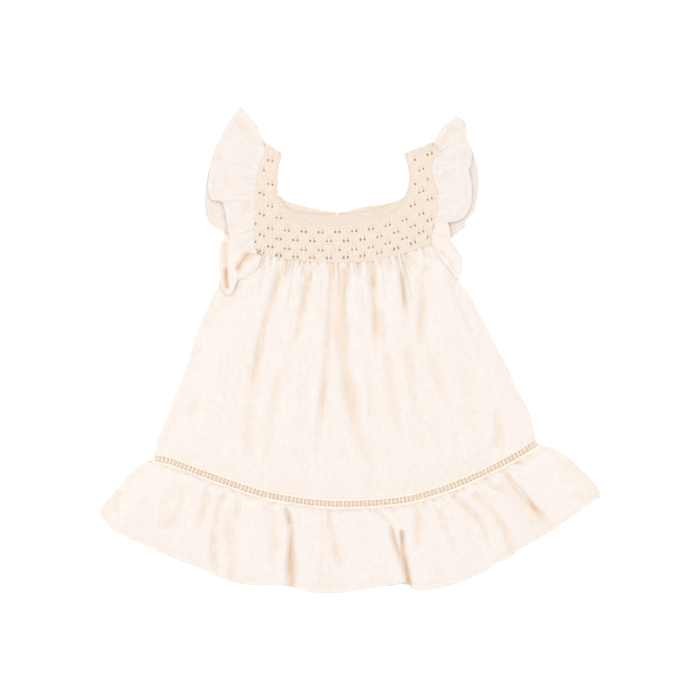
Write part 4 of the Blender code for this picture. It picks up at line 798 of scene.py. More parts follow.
def shade_faded(hollow, edge):
    """Painted shade that fades towards the side seams."""
    return hollow * (0.4 + 0.6 * smooth(edge / EDGE_FADE))


def under_trim(z, distance):
    """Heights that dip where the cloth runs under the trim, at a distance from the panel's edge."""
    return z - TRIM_DIP * (1 - rounded(distance - SEAM_TUCK + 0.9, 0.8))


def front_shell(name, p, z, hollow, fine, material):
    """A front panel's wall, its side edges rolled down and painted shade in its fine creases, and its outer
    points.
    """
    z = EDGE_LOW + (z - EDGE_LOW) * rounded(p.edge, EDGE_ROLL)
    crease = np.clip(-fine / CREASE_DEEP, 0.0, 1.0)
    grid = with_height(p.plan, z)
    # Painted shade at the bottom of the fine creases.
    hollow = hollow + CREASE_WARM_SHADE * crease
    return shell(name, grid, FRONT_EVERY, FRONT_INNER_LOW, material, hollow, crease), grid


def front_skirt(material):
    """The front skirt: puffed between its folds, gathered at the yoke and run under the trim."""
    p = panel(skirt_head, skirt_foot, skirt_sides, mean_length(skirt_sides), SKIRT_ROWS, SKIRT_COLUMNS,
              FRONT_EVERY)
    side = smooth(p.edge / SKIRT_SIDE_RUN)
    seam = FRONT_FLOOR + (SKIRT_HEAD - FRONT_FLOOR) * side
    puff = FRONT_FLOOR + (SKIRT_PUFF - FRONT_FLOOR) * side
    z = seam + (puff - seam) * smooth(p.from_head / SKIRT_HEAD_RUN)
    rolls = noise(p.along, p.from_head * 0.12, 15.0, 11) * 1.6 * (1 - smooth(p.from_head / 210.0))
    rolls = rolls + noise(p.x, p.y * 0.4, 26.0, 12) * 1.3
    rolls = rolls + noise(p.along * 1.3, p.from_head * 0.09, 6.0, 13) * 0.42
    rolls = rolls + noise(p.x, p.y, 4.0, 14) * 0.16
    z = z + rolls * side
    depth = fold_field(SKIRT_FOLDS, p.x, p.y) * smooth(p.edge / 10.0)
    z = sunk(z, depth, FRONT_LOW)
    z = sunk(z, fold_field(SKIRT_PRESSED, p.x, p.y), FRONT_LOW)

    # The head is gathered where it meets the yoke, and smooth along the armholes.
    start = spline(RIGHT_ARMHOLE).length
    gathered = smooth((p.along - start) / SKIRT_PLAIN[0] - 0.3)
    gathered = gathered * smooth((start + yoke_seam.length - p.along) / SKIRT_PLAIN[1] - 0.3)
    for row in SKIRT_GATHERS:
        z = z + gathered * gathers(p.along, p.from_head, skirt_head.length, *row)
    foot = smooth(1 - p.from_foot / SKIRT_FOOT_RUN)
    z = z + (lift_at(p.share) - z) * foot
    near_seam = smooth(1 - p.from_head / SKIRT_RUCHED) * gathered
    # Painted shade in the skirt's hollows and folds, stronger below the seam.
    hollow = shade_faded(painted_shade_of(p, z, SKIRT_SPACING, depth, near_seam, 0.12, 13.0, 15), p.edge)
    fine = gathered * gathers(p.along, p.from_head, skirt_head.length, *SKIRT_FINE)
    z = z + fine
    z = z + crinkle(p.x, p.y, 31) * (1 - 0.6 * foot) * smooth(p.edge / 6.0)
    z = z + 0.45 * np.exp(-((p.from_foot - 1.7) / 1.3) ** 2)
    z = np.maximum(z, FRONT_LOW)
    z = YOKE_UNDER + (z - YOKE_UNDER) * rounded(p.from_head - SEAM_TUCK + 0.9, 0.8)
    z = under_trim(z, p.from_foot)
    return front_shell("dress_front_skirt", p, z, hollow, fine, material)[0]


def front_ruffle(material):
    """The front ruffle, and the line of its hem's stitches."""
    p = panel(ruffle_head, hem_line, ruffle_sides, RUFFLE_LENGTH, RUFFLE_ROWS, RUFFLE_COLUMNS, FRONT_EVERY)
    side = smooth(p.edge / RUFFLE_SIDE_RUN)
    puff = FRONT_FLOOR + (RUFFLE_PUFF - FRONT_FLOOR) * side
    puff = puff + noise(p.along, p.from_head * 0.15, 19.0, 41) * 1.1 * side
    puff = puff + noise(p.along * 1.2, p.from_head * 0.1, 6.5, 45) * 0.4 + noise(p.x, p.y, 4.0, 46) * 0.16
    z = lift_at(p.share) + (puff - lift_at(p.share)) * smooth(p.from_head / RUFFLE_HEAD_RUN)
    depth = fold_field(RUFFLE_FOLDS, p.x, p.y) * smooth(p.edge / 8.0)
    z = sunk(z, depth, FRONT_LOW)
    for row in RUFFLE_GATHERS:
        z = z + side * gathers(p.along, p.from_head, ruffle_head.length, *row)
    z = z - HEM_DROP * smooth(1 - p.from_foot / HEM_RUN) * side
    near_seam = smooth(1 - p.from_head / RUFFLE_RUCHED) * side
    # Painted shade in the ruffle's hollows and folds, with broad painted shade beside its largest folds.
    hollow = painted_shade_of(p, z, RUFFLE_SPACING, depth, near_seam, 0.2, 12.0, 48)
    hollow = shade_faded(hollow + fold_field(RUFFLE_SHADES, p.x, p.y), p.edge)
    fine = side * gathers(p.along, p.from_head, ruffle_head.length, *RUFFLE_FINE)
    z = z + fine
    z = z + crinkle(p.x, p.y, 51) * smooth(p.edge / 6.0)

    # The sewn hem: a second layer, a groove along its stitches and the puckers between them.
    hem = smooth((HEM_FOLD - p.from_foot) / 0.8 + 0.5)
    z = z + HEM_RISE * hem
    groove = np.exp(-((p.from_foot - HEM_FOLD) / 0.7) ** 2)
    z = z - HEM_GROOVE * groove
    # Painted shade along the stitches' groove, and painted light on the hem's second layer.
    hollow = hollow + groove * (0.22 + 0.14 * noise(p.along, p.from_foot, 5.0, 47)) - 0.1 * hem
    z = z + hem * 0.22 * noise(p.along * 1.15, p.from_foot * 0.3, 3.4, 44)
    z = np.maximum(z, FRONT_LOW)
    z = z - 0.7 * (1 - rounded(p.from_foot, 0.9))
    z = under_trim(z, p.from_head)
    made, grid = front_shell("dress_front_ruffle", p, z, hollow, fine, material)
    return made, hem_line_of(grid.transpose(1, 0, 2), HEM_FOLD - HEM_SEWN)


# ---------------------------------------------------------------- ladder trim
BAND_RING = 10         # points round a band's cross-section
BAND_STEP = 1.1
BAND_SQUARE = 0.6      # below 1, a band's cross-section is squarer than an ellipse
CORD_RISE = 0.12       # relief of the bands' cord
CORD_PITCH = 2.2
BAR_SIDES = 7
BAR_RINGS = 7
BAR_FIRST = 0.9        # middle of the first bar from the bands' ends
BAR_WAIST = 0.22       # share by which a bar is narrower halfway
BAR_INTO_BANDS = 1.2   # how much longer a bar is than the gap
BAR_FLAT = 0.55        # a bar's thickness as a share of its width
BAR_LOW = 0.1          # how far the bars lie below the bands' middle
FRONT_BAR_SHADE = 0.30  # painted shade on the bars, which lie lower than the bands
# Painted shade on the back's bars, which show through the front's gaps.
BACK_BAR_SHADE = 0.35


def tube_faces(rings, around, first):
    """Quads of a tube whose rings follow one another, and its two end faces as fans of triangles."""
    number = first + np.arange(rings * around).reshape(rings, around)
    following = np.roll(number, -1, axis=1)
    quads = np.stack((number[:-1], number[1:], following[1:], following[:-1]), axis=-1).reshape(-1, 4)
    low = np.stack((np.full(around - 2, number[0, 0]), number[0, 1:-1], number[0, 2:]), axis=-1)
    high = np.stack((np.full(around - 2, number[-1, 0]), number[-1, 2:], number[-1, 1:-1]), axis=-1)
    return quads, low, high


def tubes_object(name, tubes, material):
    """Object of closed tubes, each an array of rings of points."""
    quads = []
    fans = []
    first = 0
    for tube in tubes:
        sides, low, high = tube_faces(tube.shape[0], tube.shape[1], first)
        quads.append(sides)
        fans += [low, high]
        first += tube.shape[0] * tube.shape[1]
    points = np.concatenate([tube.reshape(-1, 3) for tube in tubes])
    return mesh_object(name, points, [np.concatenate(quads), np.concatenate(fans)], material)


def ladder(name, lift, inset, shift, bar_width, bar_shade, material, seed):
    """Trim of two corded bands and the bars between them, with painted shade on its bars. lift gives its
    mean height at a share along.
    """
    draw = np.random.default_rng(seed)
    tubes = []
    columns = int((trim_line.length - 2 * inset) / BAND_STEP)
    share = np.linspace(inset, trim_line.length - inset, columns) / trim_line.length
    angle = np.arange(BAND_RING) * 2 * math.pi / BAND_RING
    upper_middle = TRIM_HEIGHT / 2 - TRIM_UPPER / 2
    lower_middle = -TRIM_HEIGHT / 2 + TRIM_LOWER / 2
    for middle, wide in ((upper_middle, TRIM_UPPER), (lower_middle, TRIM_LOWER)):
        rings = np.zeros((columns, BAND_RING, 3))
        for k in range(BAND_RING):
            across = wide / 2 * np.sign(math.cos(angle[k])) * abs(math.cos(angle[k])) ** BAND_SQUARE
            cord = CORD_RISE * np.sin(share * trim_line.length * 2 * math.pi / CORD_PITCH + k)
            rings[:, k, :2] = beside(trim_line, middle + across)(share)
            rings[:, k, 2] = lift(share) + (BAND_THICK / 2 + cord) * math.sin(angle[k])
        tubes.append(rings)
    count = int((trim_line.length - 2 * (inset + BAR_FIRST) - shift) / TRIM_PITCH)
    turn = np.arange(BAR_SIDES) * 2 * math.pi / BAR_SIDES
    run = np.linspace(-0.5, 0.5, BAR_RINGS)
    waist = 1 - BAR_WAIST * np.cos(run * math.pi)
    middle = (TRIM_LOWER - TRIM_UPPER) / 2
    for i in range(count + 1):
        along = inset + BAR_FIRST + shift + i * TRIM_PITCH + draw.uniform(-0.15, 0.15)
        lean = draw.uniform(-0.25, 0.25)
        half = bar_width / 2 * draw.uniform(0.9, 1.1)
        rings = np.zeros((BAR_RINGS, BAR_SIDES, 3))
        for j, reach in enumerate(run):
            spots = (along + lean * reach * 2 + half * waist[j] * np.cos(turn)) / trim_line.length
            rings[j, :, :2] = beside(trim_line, middle + reach * (TRIM_GAP + BAR_INTO_BANDS))(spots)
            rings[j, :, 2] = lift(spots) + half * BAR_FLAT * np.sin(turn) - BAR_LOW
        tubes.append(rings)
    made = tubes_object(name, tubes, material)
    # Painted shade on the bars, none on the bands.
    tone = np.full(len(made.data.vertices), bar_shade)
    tone[:2 * columns * BAND_RING] = 0.0
    point_layer(made, "hollow", tone)
    return made


# ---------------------------------------------------------------- knitted yokes
def eyelets(edge_clear, phase=0.0):
    """The yoke's eyelets, in pairs: centre, radius, how far stretched upwards, and side of the pair.

    phase moves the pattern sideways, in pitches of a row.
    """
    draw = np.random.default_rng(64)
    found = []
    for row, height in enumerate(EYELET_ROWS):
        offset = EYELET_FIRST + (EYELET_COLUMNS / 2 if row % 2 == 1 else 0.0) + phase * EYELET_COLUMNS
        for k in range(-EYELET_REACH, EYELET_REACH + 1):
            for hand in (-1, 1):
                x = offset + k * EYELET_COLUMNS + hand * EYELET_PAIR / 2
                y = float(seam_y(x)) + height + EYELET_TILT * (x - EYELET_FIRST)
                radius = EYELET_RADIUS * draw.uniform(*EYELET_SPREAD)
                if edge_clear(x, y):
                    found.append((x, y, radius, FIRST_ROW_TALL if row == 0 else 1.0, hand))
    return found


def opened(plan, holes):
    """Plan points pushed clear of holes, which of them were inside one, and how near each is to one."""
    x = plan[..., 0].copy()
    y = plan[..., 1].copy()
    inside = np.zeros(x.shape, dtype=bool)
    near = np.zeros(x.shape)
    for hole_x, hole_y, radius, tall, hand in holes:
        dx = plan[..., 0] - hole_x
        dy = (plan[..., 1] - hole_y) / tall
        r = np.hypot(dx, dy)
        close = r < radius * HOLE_REACH
        if not close.any():
            continue
        pushed = (r[close] ** 3 + radius ** 3) ** (1 / 3)
        grow = pushed / np.maximum(r[close], 0.05)
        x[close] = hole_x + dx[close] * grow
        y[close] = hole_y + dy[close] * grow * tall
        inside |= r < EYELET_OPEN * radius
        near = np.maximum(near, np.exp(-((r - radius * 0.5) / radius) ** 2) * close)
        above = plan[..., 1] - hole_y
        beside_line = dx + hand * LADDER_LEAN * above
        line_fade = smooth((LADDER_RUN - above) / 3.0) * (above > 0)
        near = np.maximum(near, 0.85 * (np.exp(-(beside_line / LADDER_HALF) ** 2) * line_fade))
    return np.stack((x, y), axis=-1), inside, near


STRAP_ROLL_STEPS = 7
STRAP_ROLL_RUN = 2.2
STRAP_ROLL_DROP = 1.7
STRAP_END_RIGHT = np.array((0.35, 0.94))     # the way that each strap's end rolls over
STRAP_END_LEFT = np.array((-0.3, 0.95))
YokeGrid = namedtuple("YokeGrid", "plan from_outer from_neck band drop")


def yoke_grid(sections, rows, columns):
    """Plan of a yoke from its outer edge to its neck edge, round from the right strap to the left one.

    With the plan come each point's distances from the outer and neck edges, the neck band's width and how
    far the straps' ends have turned down.
    """
    row = spline(sections)(np.linspace(0.0, 1.0, rows))
    turn = np.linspace(0.0, math.pi / 2, STRAP_ROLL_STEPS + 1)[1:]
    neck = row[:, 0:2]
    outer = row[:, 2:4].copy()
    outer[:, 1] = np.maximum(outer[:, 1], seam_y(outer[:, 0]))
    run = STRAP_ROLL_RUN * np.sin(turn)[:, None]
    drop = STRAP_ROLL_DROP * (1 - np.cos(turn))

    def extended(line):
        right_end = (line[0] + STRAP_END_RIGHT * run)[::-1]
        return np.concatenate((right_end, line, line[-1] + STRAP_END_LEFT * run))

    neck = extended(neck)
    outer = extended(outer)
    band = np.concatenate((np.full(len(turn), row[0, 4]), row[:, 4], np.full(len(turn), row[-1, 4])))
    drop = np.concatenate((drop[::-1], np.zeros(rows), drop))
    t = np.linspace(0.0, 1.0, columns)[None, :, None]
    plan = outer[:, None, :] * (1 - t) + neck[:, None, :] * t
    width = np.linalg.norm(outer - neck, axis=-1)[:, None]
    from_outer = t[..., 0] * width
    return YokeGrid(plan, from_outer, width - from_outer, band[:, None], drop[:, None])


def knit_relief(x, course_height, from_neck, band):
    """Relief of the knitted stitches: wales over the whole yoke and ribs along its neck."""
    wales = WALE_RISE * np.cos(2 * math.pi * x / WALE)
    bow = 0.5 * np.abs(np.cos(math.pi * x / WALE))
    courses = COURSE_RISE * np.cos(2 * math.pi * (course_height / COURSE + bow))
    in_band = smooth((band - from_neck) / 1.0 + 0.5)
    ribs = RIB_RISE * (np.abs(np.sin(math.pi * from_neck / RIB_PITCH)) - 0.5)
    return (wales + courses) * (1 - 0.6 * in_band) + ribs * in_band


def inside_yoke(yoke, reach, x, y):
    """Whether an eyelet at a place lies inside a yoke, clear of its edges, neck band and straps' ends.

    reach is how far the nearest point of the yoke's grid may be.
    """
    away = np.hypot(yoke.plan[..., 0] - x, yoke.plan[..., 1] - y)
    i, j = np.unravel_index(np.argmin(away), away.shape)
    if away[i, j] > reach or yoke.drop[i, 0] > 0.0:
        return False
    return yoke.from_outer[i, j] > EYELET_CLEAR and yoke.from_neck[i, j] > yoke.band[i, 0] + BAND_CLEAR


def knit_places(x, y, near):
    """Where each point lies in the knit: column, row, and how near an eyelet is."""
    return np.stack((x / WALE, (y - seam_y(x)) / COURSE, near), axis=-1)


def front_yoke(material):
    """The front yoke, with its eyelets, the ribs of its neck band and the straps' rounded ends."""
    yoke = yoke_grid(YOKE_SECTIONS, YOKE_ROWS, YOKE_COLUMNS)
    holes = eyelets(lambda x, y: inside_yoke(yoke, 0.6, x, y))
    plan, inside, near = opened(yoke.plan, holes)
    x = plan[..., 0]
    y = plan[..., 1]
    relief = knit_relief(x, y - seam_y(x), yoke.from_neck, yoke.band)
    sag = 0.5 * noise(x, y, 26.0, 61) + 0.25 * noise(x, y, 9.0, 62)
    soft = smooth(np.minimum(yoke.from_outer, yoke.from_neck) / 8.0)
    top = YOKE_TOP + relief + sag * soft - EYELET_DIP * near
    edge = np.minimum(rounded(yoke.from_outer + 0.15, 1.3), rounded(yoke.from_neck + 0.15, 1.5))
    top = top - 0.35 * (1 - edge) - yoke.drop
    under = np.maximum(YOKE_TOP - KNIT + 0.1 * sag * soft - yoke.drop * 0.8, 0.3)
    under = np.minimum(under, top - 0.25)
    rib = (2 * yoke.from_neck / RIB_PITCH, lengths_along(plan[:, -1])[:, None] / COURSE + 0 * x,
           yoke.band - yoke.from_neck)
    return pierced_wall("dress_front_yoke", plan, top, under, inside, material,
                        {"knit": knit_places(x, y, near), "rib": np.stack(rib, axis=-1)})


def back_yoke(material):
    """The back's neck runs higher than the front's, with a short slit at the centre."""
    neck_back = spline(BACK_NECK)(np.linspace(0.0, 1.0, 120))
    sections = []
    for s in YOKE_SECTIONS:
        if neck_back[0, 0] < s.neck_x < neck_back[-1, 0]:
            back_y = float(np.interp(s.neck_x, neck_back[:, 0], neck_back[:, 1]))
            s = s._replace(neck_y=max(s.neck_y, back_y))
        sections.append(s)
    yoke = yoke_grid(sections, BACK_YOKE_ROWS, BACK_YOKE_COLUMNS)
    slit_x = yoke.plan[..., 0] - BACK_SLIT_X
    in_slit = yoke.from_neck < SLIT_LENGTH
    open_wide = SLIT_HALF + 0.3 * smooth(1 - yoke.from_neck / 3.0)
    shift = (np.abs(slit_x) ** 3 + open_wide ** 3) ** (1 / 3)
    beside_slit = in_slit & (np.abs(slit_x) < 6.0)
    yoke.plan[..., 0] = np.where(beside_slit, BACK_SLIT_X + np.sign(slit_x) * shift, yoke.plan[..., 0])
    holes = eyelets(lambda x, y: abs(x - BACK_SLIT_X) >= SLIT_CLEAR and inside_yoke(yoke, 1.2, x, y),
                    BACK_PHASE)
    plan, inside, near = opened(yoke.plan, holes)
    inside |= in_slit & (np.abs(slit_x) < SLIT_CUT)
    x = plan[..., 0]
    y = plan[..., 1]
    relief = knit_relief(x, y - seam_y(x), yoke.from_neck, yoke.band)
    soft = 1 - np.minimum(rounded(yoke.from_outer + 0.15, 1.0), rounded(yoke.from_neck + 0.15, 1.0))
    top = BACK_YOKE_TOP + 0.5 * relief - 0.35 * soft
    under = np.maximum(0.12 - 0.5 * relief + 0.3 * near + 0.35 * soft, 0.0)
    under = np.minimum(under, top - 0.3)
    return pierced_wall("dress_back_yoke", plan, top, under, inside, material,
                        {"knit": knit_places(x, y, near)})


# ---------------------------------------------------------------- sleeves and frills
SLEEVE_EVERY = 4
SLEEVE_COLUMNS = 77
SLEEVE_STEP = 0.75
FRILL_COLUMNS = 45
FRILL_STEP = 0.6
SLEEVE_INNER_LOW = 0.05        # lowest inner face of a sleeve
SLEEVE_GATHERS = (4.6, 1.4, 32.0)
TUCK_SHARES = (0.2, 0.4, 0.6, 0.8)     # rows between a sleeve's upper front and the part tucked under it
HEM_SETTLE = 0.6       # how far a flounce's hem sinks under its own weight
SHOULDER_ANGLES = np.radians([-90, -68, -45, -22, 0, 22, 45, 68, 90])


def bent(seam, hem, count, bow=0.0):
    """Plan points across a section, bowed sideways."""
    t = np.linspace(0.0, 1.0, count)[:, None]
    run = np.array(hem) - np.array(seam)
    side = np.array((-run[1], run[0])) / np.linalg.norm(run)
    return np.array(seam) + run * t + side * bow * np.sin(math.pi * t)


def crown(section, count):
    """Upper face's height across a section, through its three heights."""
    t = np.linspace(0.0, 1.0, count)
    hem_z = section.hem_z - HEM_SETTLE
    ends = section.seam_z * (1 - t) + hem_z * t
    middle = (section.seam_z + hem_z) / 2
    return ends + (section.mid_z - middle) * np.sin(math.pi * t)


def lofted(keys, step):
    """Rows through key rows at about a step apart."""
    keys = np.array(keys)
    curve = spline(keys.reshape(len(keys), -1))
    count = max(int(curve.length / math.sqrt(keys.shape[1]) / step), 2)
    return curve(np.linspace(0.0, 1.0, count)).reshape(count, keys.shape[1], 3)


def yoke_side(hand):
    """The yoke's outer edge on one side, from the shoulder down."""
    row = spline(YOKE_SECTIONS)(np.linspace(0.0, 1.0, 160))
    line = row[row[:, 2] * hand > 0][:, 2:4]
    return line[np.argsort(-line[:, 1])]


def thinned(grid):
    """The grid with a count of rows that leaves a whole number of coarse steps."""
    return grid[np.linspace(0, len(grid) - 1, steps(len(grid), SLEEVE_EVERY)).round().astype(int)]


def hem_relief(grid, hem_fold, turned=False):
    """Relief of a flounce's sewn hem: its second layer, the groove of its stitches and its rounded edge."""
    reach = reach_from_hem(grid, turned)
    band = 0.35 * smooth((hem_fold - reach) / 0.7 + 0.5)
    groove = -0.28 * np.exp(-((reach - hem_fold) / 0.6) ** 2)
    edge = -0.5 * (1 - rounded(reach, 0.8))
    return band + groove + edge


def sleeve_grid(shape, hand):
    """Smooth upper face of a folded sleeve, from the foot of its back round the shoulder to its front."""
    edge = yoke_side(hand)
    count = SLEEVE_COLUMNS

    def row(section, heights):
        x = np.interp(-section.seam_y, -edge[:, 1], edge[:, 0])
        plan = bent((x - hand * ARMHOLE_TUCK, section.seam_y), (section.hem_x, section.hem_y), count)
        return with_height(plan, heights)

    fold = shape.shoulder_fold
    line = bent(shape.shoulder, (fold.hem_x, fold.hem_y), count, SHOULDER_BOW * hand)
    run = line[-1] - line[0]
    out = np.array((-run[1], run[0])) / np.linalg.norm(run) * hand
    radius = crown(fold, count) / 2
    keys = [row(section, np.zeros(count)) for section in reversed(shape.back)]
    for angle in SHOULDER_ANGLES:
        plan = line + out * (radius * (math.cos(angle) - 1))[:, None]
        keys.append(with_height(plan, radius * (1 + math.sin(angle))))
    upper = lofted(keys + [row(section, crown(section, count)) for section in shape.upper], SLEEVE_STEP)
    lower = lofted([row(section, crown(section, count)) for section in shape.lower], SLEEVE_STEP)
    tuck = [upper[-1] * (1 - t) + lower[0] * t for t in TUCK_SHARES]
    grid = thinned(np.concatenate((upper, tuck, lower)))
    return grid[:, ::-1] if hand < 0 else grid


def sleeve(name, shape, material, seed):
    """Flutter sleeve folded at the shoulder, its front over its flat back, and its line of stitches."""
    hand = math.copysign(1.0, shape.shoulder[0])
    grid = sleeve_grid(shape, hand)
    normal = grid_normals(grid)
    seam_line = grid[:, -1 if hand < 0 else 0]
    along = lengths_along(seam_line)[:, None]
    distance = np.linalg.norm(grid - seam_line[:, None], axis=-1)
    depth = fold_field(shape.folds, grid[..., 0], grid[..., 1])
    facing = smooth((normal[..., 2] + 0.2) / 0.6)
    front = facing > 0.5
    rise = crinkle(grid[..., 0], grid[..., 1], seed) * 1.2
    rise = rise + noise(along + distance * 0.1, distance * 0.3, 8.0, seed + 5) * 0.5
    rise = rise + gathers(along, distance, along.max(), *SLEEVE_GATHERS, seed + 7)
    rise = rise * smooth(distance / 3.0 + 0.35) - depth * facing
    rise = rise * (0.35 + 0.65 * facing) + hem_relief(grid, SLEEVE_HEM, hand < 0)
    grid = grid + normal * rise[..., None]
    low = np.where(front, FRONT_LOW, 0.02)
    grid[..., 2] = np.maximum(grid[..., 2], low * (np.abs(normal[..., 2]) > 0.7))
    tucked = rounded(distance - ARMHOLE_TUCK + 0.6, 0.8)
    under = YOKE_UNDER + (grid[..., 2] - YOKE_UNDER) * tucked
    grid[..., 2] = np.maximum(np.where(front, under, grid[..., 2]), 0.0)
    # Painted shade: the front layer a little darker all over and darker still in its hollows and folds, the
    # back layer evenly darker.
    hollow = FRONT_LAYER_SHADE + 0.8 * hollows(grid[..., 2], SLEEVE_STEP) + SLEEVE_FOLD_SHADE * depth
    hollow = np.where(front, hollow, BACK_LAYER_SHADE)
    sewn = hem_line_of(grid[(facing > 0.9).mean(axis=1) > 0.9], SLEEVE_HEM - HEM_SEWN, hand < 0)
    return shell(name, grid, SLEEVE_EVERY, SLEEVE_INNER_LOW, material, hollow), sewn


def frill(name, flaps, folds, tone, material, seed):
    """Stretch of flounce that comes out under the arm onto the skirt's corner, and its line of stitches."""
    keys = []
    for flap in flaps:
        plan = bent((flap.seam_x, flap.seam_y), (flap.hem_x, flap.hem_y), FRILL_COLUMNS)
        keys.append(with_height(plan, crown(flap, FRILL_COLUMNS)))
    grid = thinned(lofted(keys, FRILL_STEP))
    normal = grid_normals(grid)
    x = grid[..., 0]
    y = grid[..., 1]
    distance = np.linalg.norm(grid - grid[:, :1], axis=-1)
    depth = fold_field(folds, x, y)
    grid[..., 2] = sunk(grid[..., 2], depth, FRILL_LOW)
    rise = crinkle(x, y, seed) * 1.1 + hem_relief(grid, FRILL_HEM)
    grid = grid + normal * (rise * smooth(distance / 3.0 + 0.3))[..., None]
    grid[..., 2] = np.maximum(grid[..., 2], FRILL_LOW)
    # Painted shade: the frill a little darker all over, and darker in its hollows and, by its tone, in its
    # folds.
    hollow = 0.1 + hollows(grid[..., 2], FRILL_STEP) + tone * depth
    sewn = hem_line_of(grid, FRILL_HEM - FRILL_SEWN)
    return shell(name, grid, SLEEVE_EVERY, FRILL_LOW - CLOTH, material, hollow), sewn


# ---------------------------------------------------------------- back skirt and ruffle
BACK_EVERY = 4
BACK_INSET = 2.2       # how far the back panels' side edges lie inside the front's
BACK_HEM_INSET = 1.6   # how far the back's hem lies behind the front's
BACK_RISE = 0.5        # highest that the creases lift the back's underside
BACK_INNER_LOW = 0.6   # lowest upper face of the back


def back_hem():
    """The back ruffle's hem: behind the front's, but for the stretch that shows below it."""
    behind = [p for p in HEM if not BACK_HEM_BELOW[0][0] < p[0] < BACK_HEM_BELOW[-1][0] + 4]
    return beside(spline(sorted(behind[:-1] + BACK_HEM_BELOW) + behind[-1:]), BACK_HEM_INSET)


def back_sheet(name, head, foot, sides, rows, columns, seed, material, hem):
    """Back panel, flat on the surface, with shallow creases in its underside."""
    p = panel(head, foot, sides, mean_length(sides), rows, columns, BACK_EVERY)
    shrink = (p.width - 2 * BACK_INSET) / p.width
    centre = (p.plan[:, :1] + p.plan[:, -1:]) / 2
    plan = centre + (p.plan - centre) * shrink[..., None]
    rise = 0.16 + 0.12 * noise(p.along, p.from_head * 0.1, 13.0, seed)
    rise = rise + 0.5 * crinkle(plan[..., 0], plan[..., 1], seed + 1)
    rise = rise - 0.5 * gathers(p.along, p.from_head, head.length, 8.0, 0.8, 30.0, seed + 4)
    if hem:
        rise = rise + 0.15 * np.exp(-((p.from_foot - HEM_FOLD) / 0.7) ** 2)
    rise = rise + 0.3 * (1 - rounded(p.from_foot, 0.8)) + 0.3 * (1 - rounded(p.from_head, 0.8))
    grid = with_height(plan, np.clip(rise, 0.0, BACK_RISE))[:, ::-1]
    return shell(name, grid, BACK_EVERY, BACK_INNER_LOW, material, ceiling=BACK_TOP)


# ---------------------------------------------------------------- sewing
HEM_LINE_EVERY = 4     # rows of a grid between the points of its line of stitches
STITCH_LENGTH = 2.3
STITCH_PITCH = 3.1
STITCH_HALF = 0.19     # half a stitch's thickness
STITCH_ROUNDING = (0.35, 0.9, 1.0, 0.9, 0.35)     # its thickness along it, as shares
STITCH_SIDES = 6
STITCH_LIFT = 0.12     # how high its middle lies on the cloth
STITCH_DIVE = 0.3      # how far its ends go down


def stitches(name, line, material, seed):
    """Row of machine stitches along a line of points on the cloth."""
    draw = np.random.default_rng(seed)
    curve = spline(line)
    run = np.linspace(-0.5, 0.5, len(STITCH_ROUNDING))
    radius = STITCH_HALF * np.array(STITCH_ROUNDING)
    turn = np.arange(STITCH_SIDES) * math.pi / 3
    tubes = []
    for i in range(int(curve.length / STITCH_PITCH) - 2):
        middle = (i + 1.5) * STITCH_PITCH
        shares = (middle + run * STITCH_LENGTH * draw.uniform(0.9, 1.08)) / curve.length
        spots = curve(shares)
        ahead = (curve(shares + 0.001) - curve(shares - 0.001))[:, :2]
        side = np.stack((-ahead[:, 1], ahead[:, 0]), axis=-1) / np.linalg.norm(ahead, axis=-1, keepdims=True)
        height = spots[:, 2] + STITCH_LIFT - STITCH_DIVE * (2 * run) ** 4
        rings = np.zeros((len(run), STITCH_SIDES, 3))
        for k, angle in enumerate(turn):
            rings[:, k, :2] = spots[:, :2] + side * (radius * math.cos(angle))[:, None]
            rings[:, k, 2] = height + radius * math.sin(angle)
        tubes.append(rings)
    return tubes_object(name, tubes, material)


def reach_from_hem(grid, turned=False):
    """Distance of a grid's points from its hem, which is its last column, or its first where turned."""
    if turned:
        grid = grid[:, ::-1]
    parts = np.linalg.norm(np.diff(grid, axis=1), axis=-1)
    reach = np.concatenate((np.cumsum(parts[:, ::-1], axis=1)[:, ::-1], np.zeros((len(grid), 1))), axis=1)
    return reach[:, ::-1] if turned else reach


def hem_line_of(grid, distance, turned=False):
    """Points of a grid at a distance from its hem, a few rows apart."""
    column = np.abs(reach_from_hem(grid, turned) - distance).argmin(axis=1)
    return grid[np.arange(len(grid)), column][::HEM_LINE_EVERY]


# ---------------------------------------------------------------- materials
def new_material(name, roughness, sheen):
    """Principled material with its node tree and shader."""
    made = bpy.data.materials.new(name)
    made.use_nodes = True
    shader = made.node_tree.nodes["Principled BSDF"]
    shader.inputs["Roughness"].default_value = roughness
    shader.inputs["Sheen Weight"].default_value = sheen
    shader.inputs["Sheen Roughness"].default_value = 0.5
    shader.inputs["Specular IOR Level"].default_value = 0.2
    return made, made.node_tree, shader


def linked(tree, kind, values=None, links=None, **settings):
    """New node with its settings, socket values and incoming links."""
    made = tree.nodes.new(kind)
    for key, value in settings.items():
        setattr(made, key, value)
    for key, value in (values or {}).items():
        made.inputs[key].default_value = value
    for key, socket in (links or {}).items():
        tree.links.new(socket, made.inputs[key])
    return made


def maths(tree, operation, a, b=None):
    """Math node's output, from sockets or numbers."""
    made = tree.nodes.new("ShaderNodeMath")
    made.operation = operation
    for i, value in enumerate((a, b)):
        if value is None:
            continue
        if isinstance(value, (int, float)):
            made.inputs[i].default_value = value
        else:
            tree.links.new(value, made.inputs[i])
    return made.outputs[0]


def noise_at(tree, place, scale, detail, roughness=0.5):
    """Noise texture's value at a place."""
    values = {"Scale": scale, "Detail": detail, "Roughness": roughness}
    return linked(tree, "ShaderNodeTexNoise", values, {"Vector": place}).outputs[0]


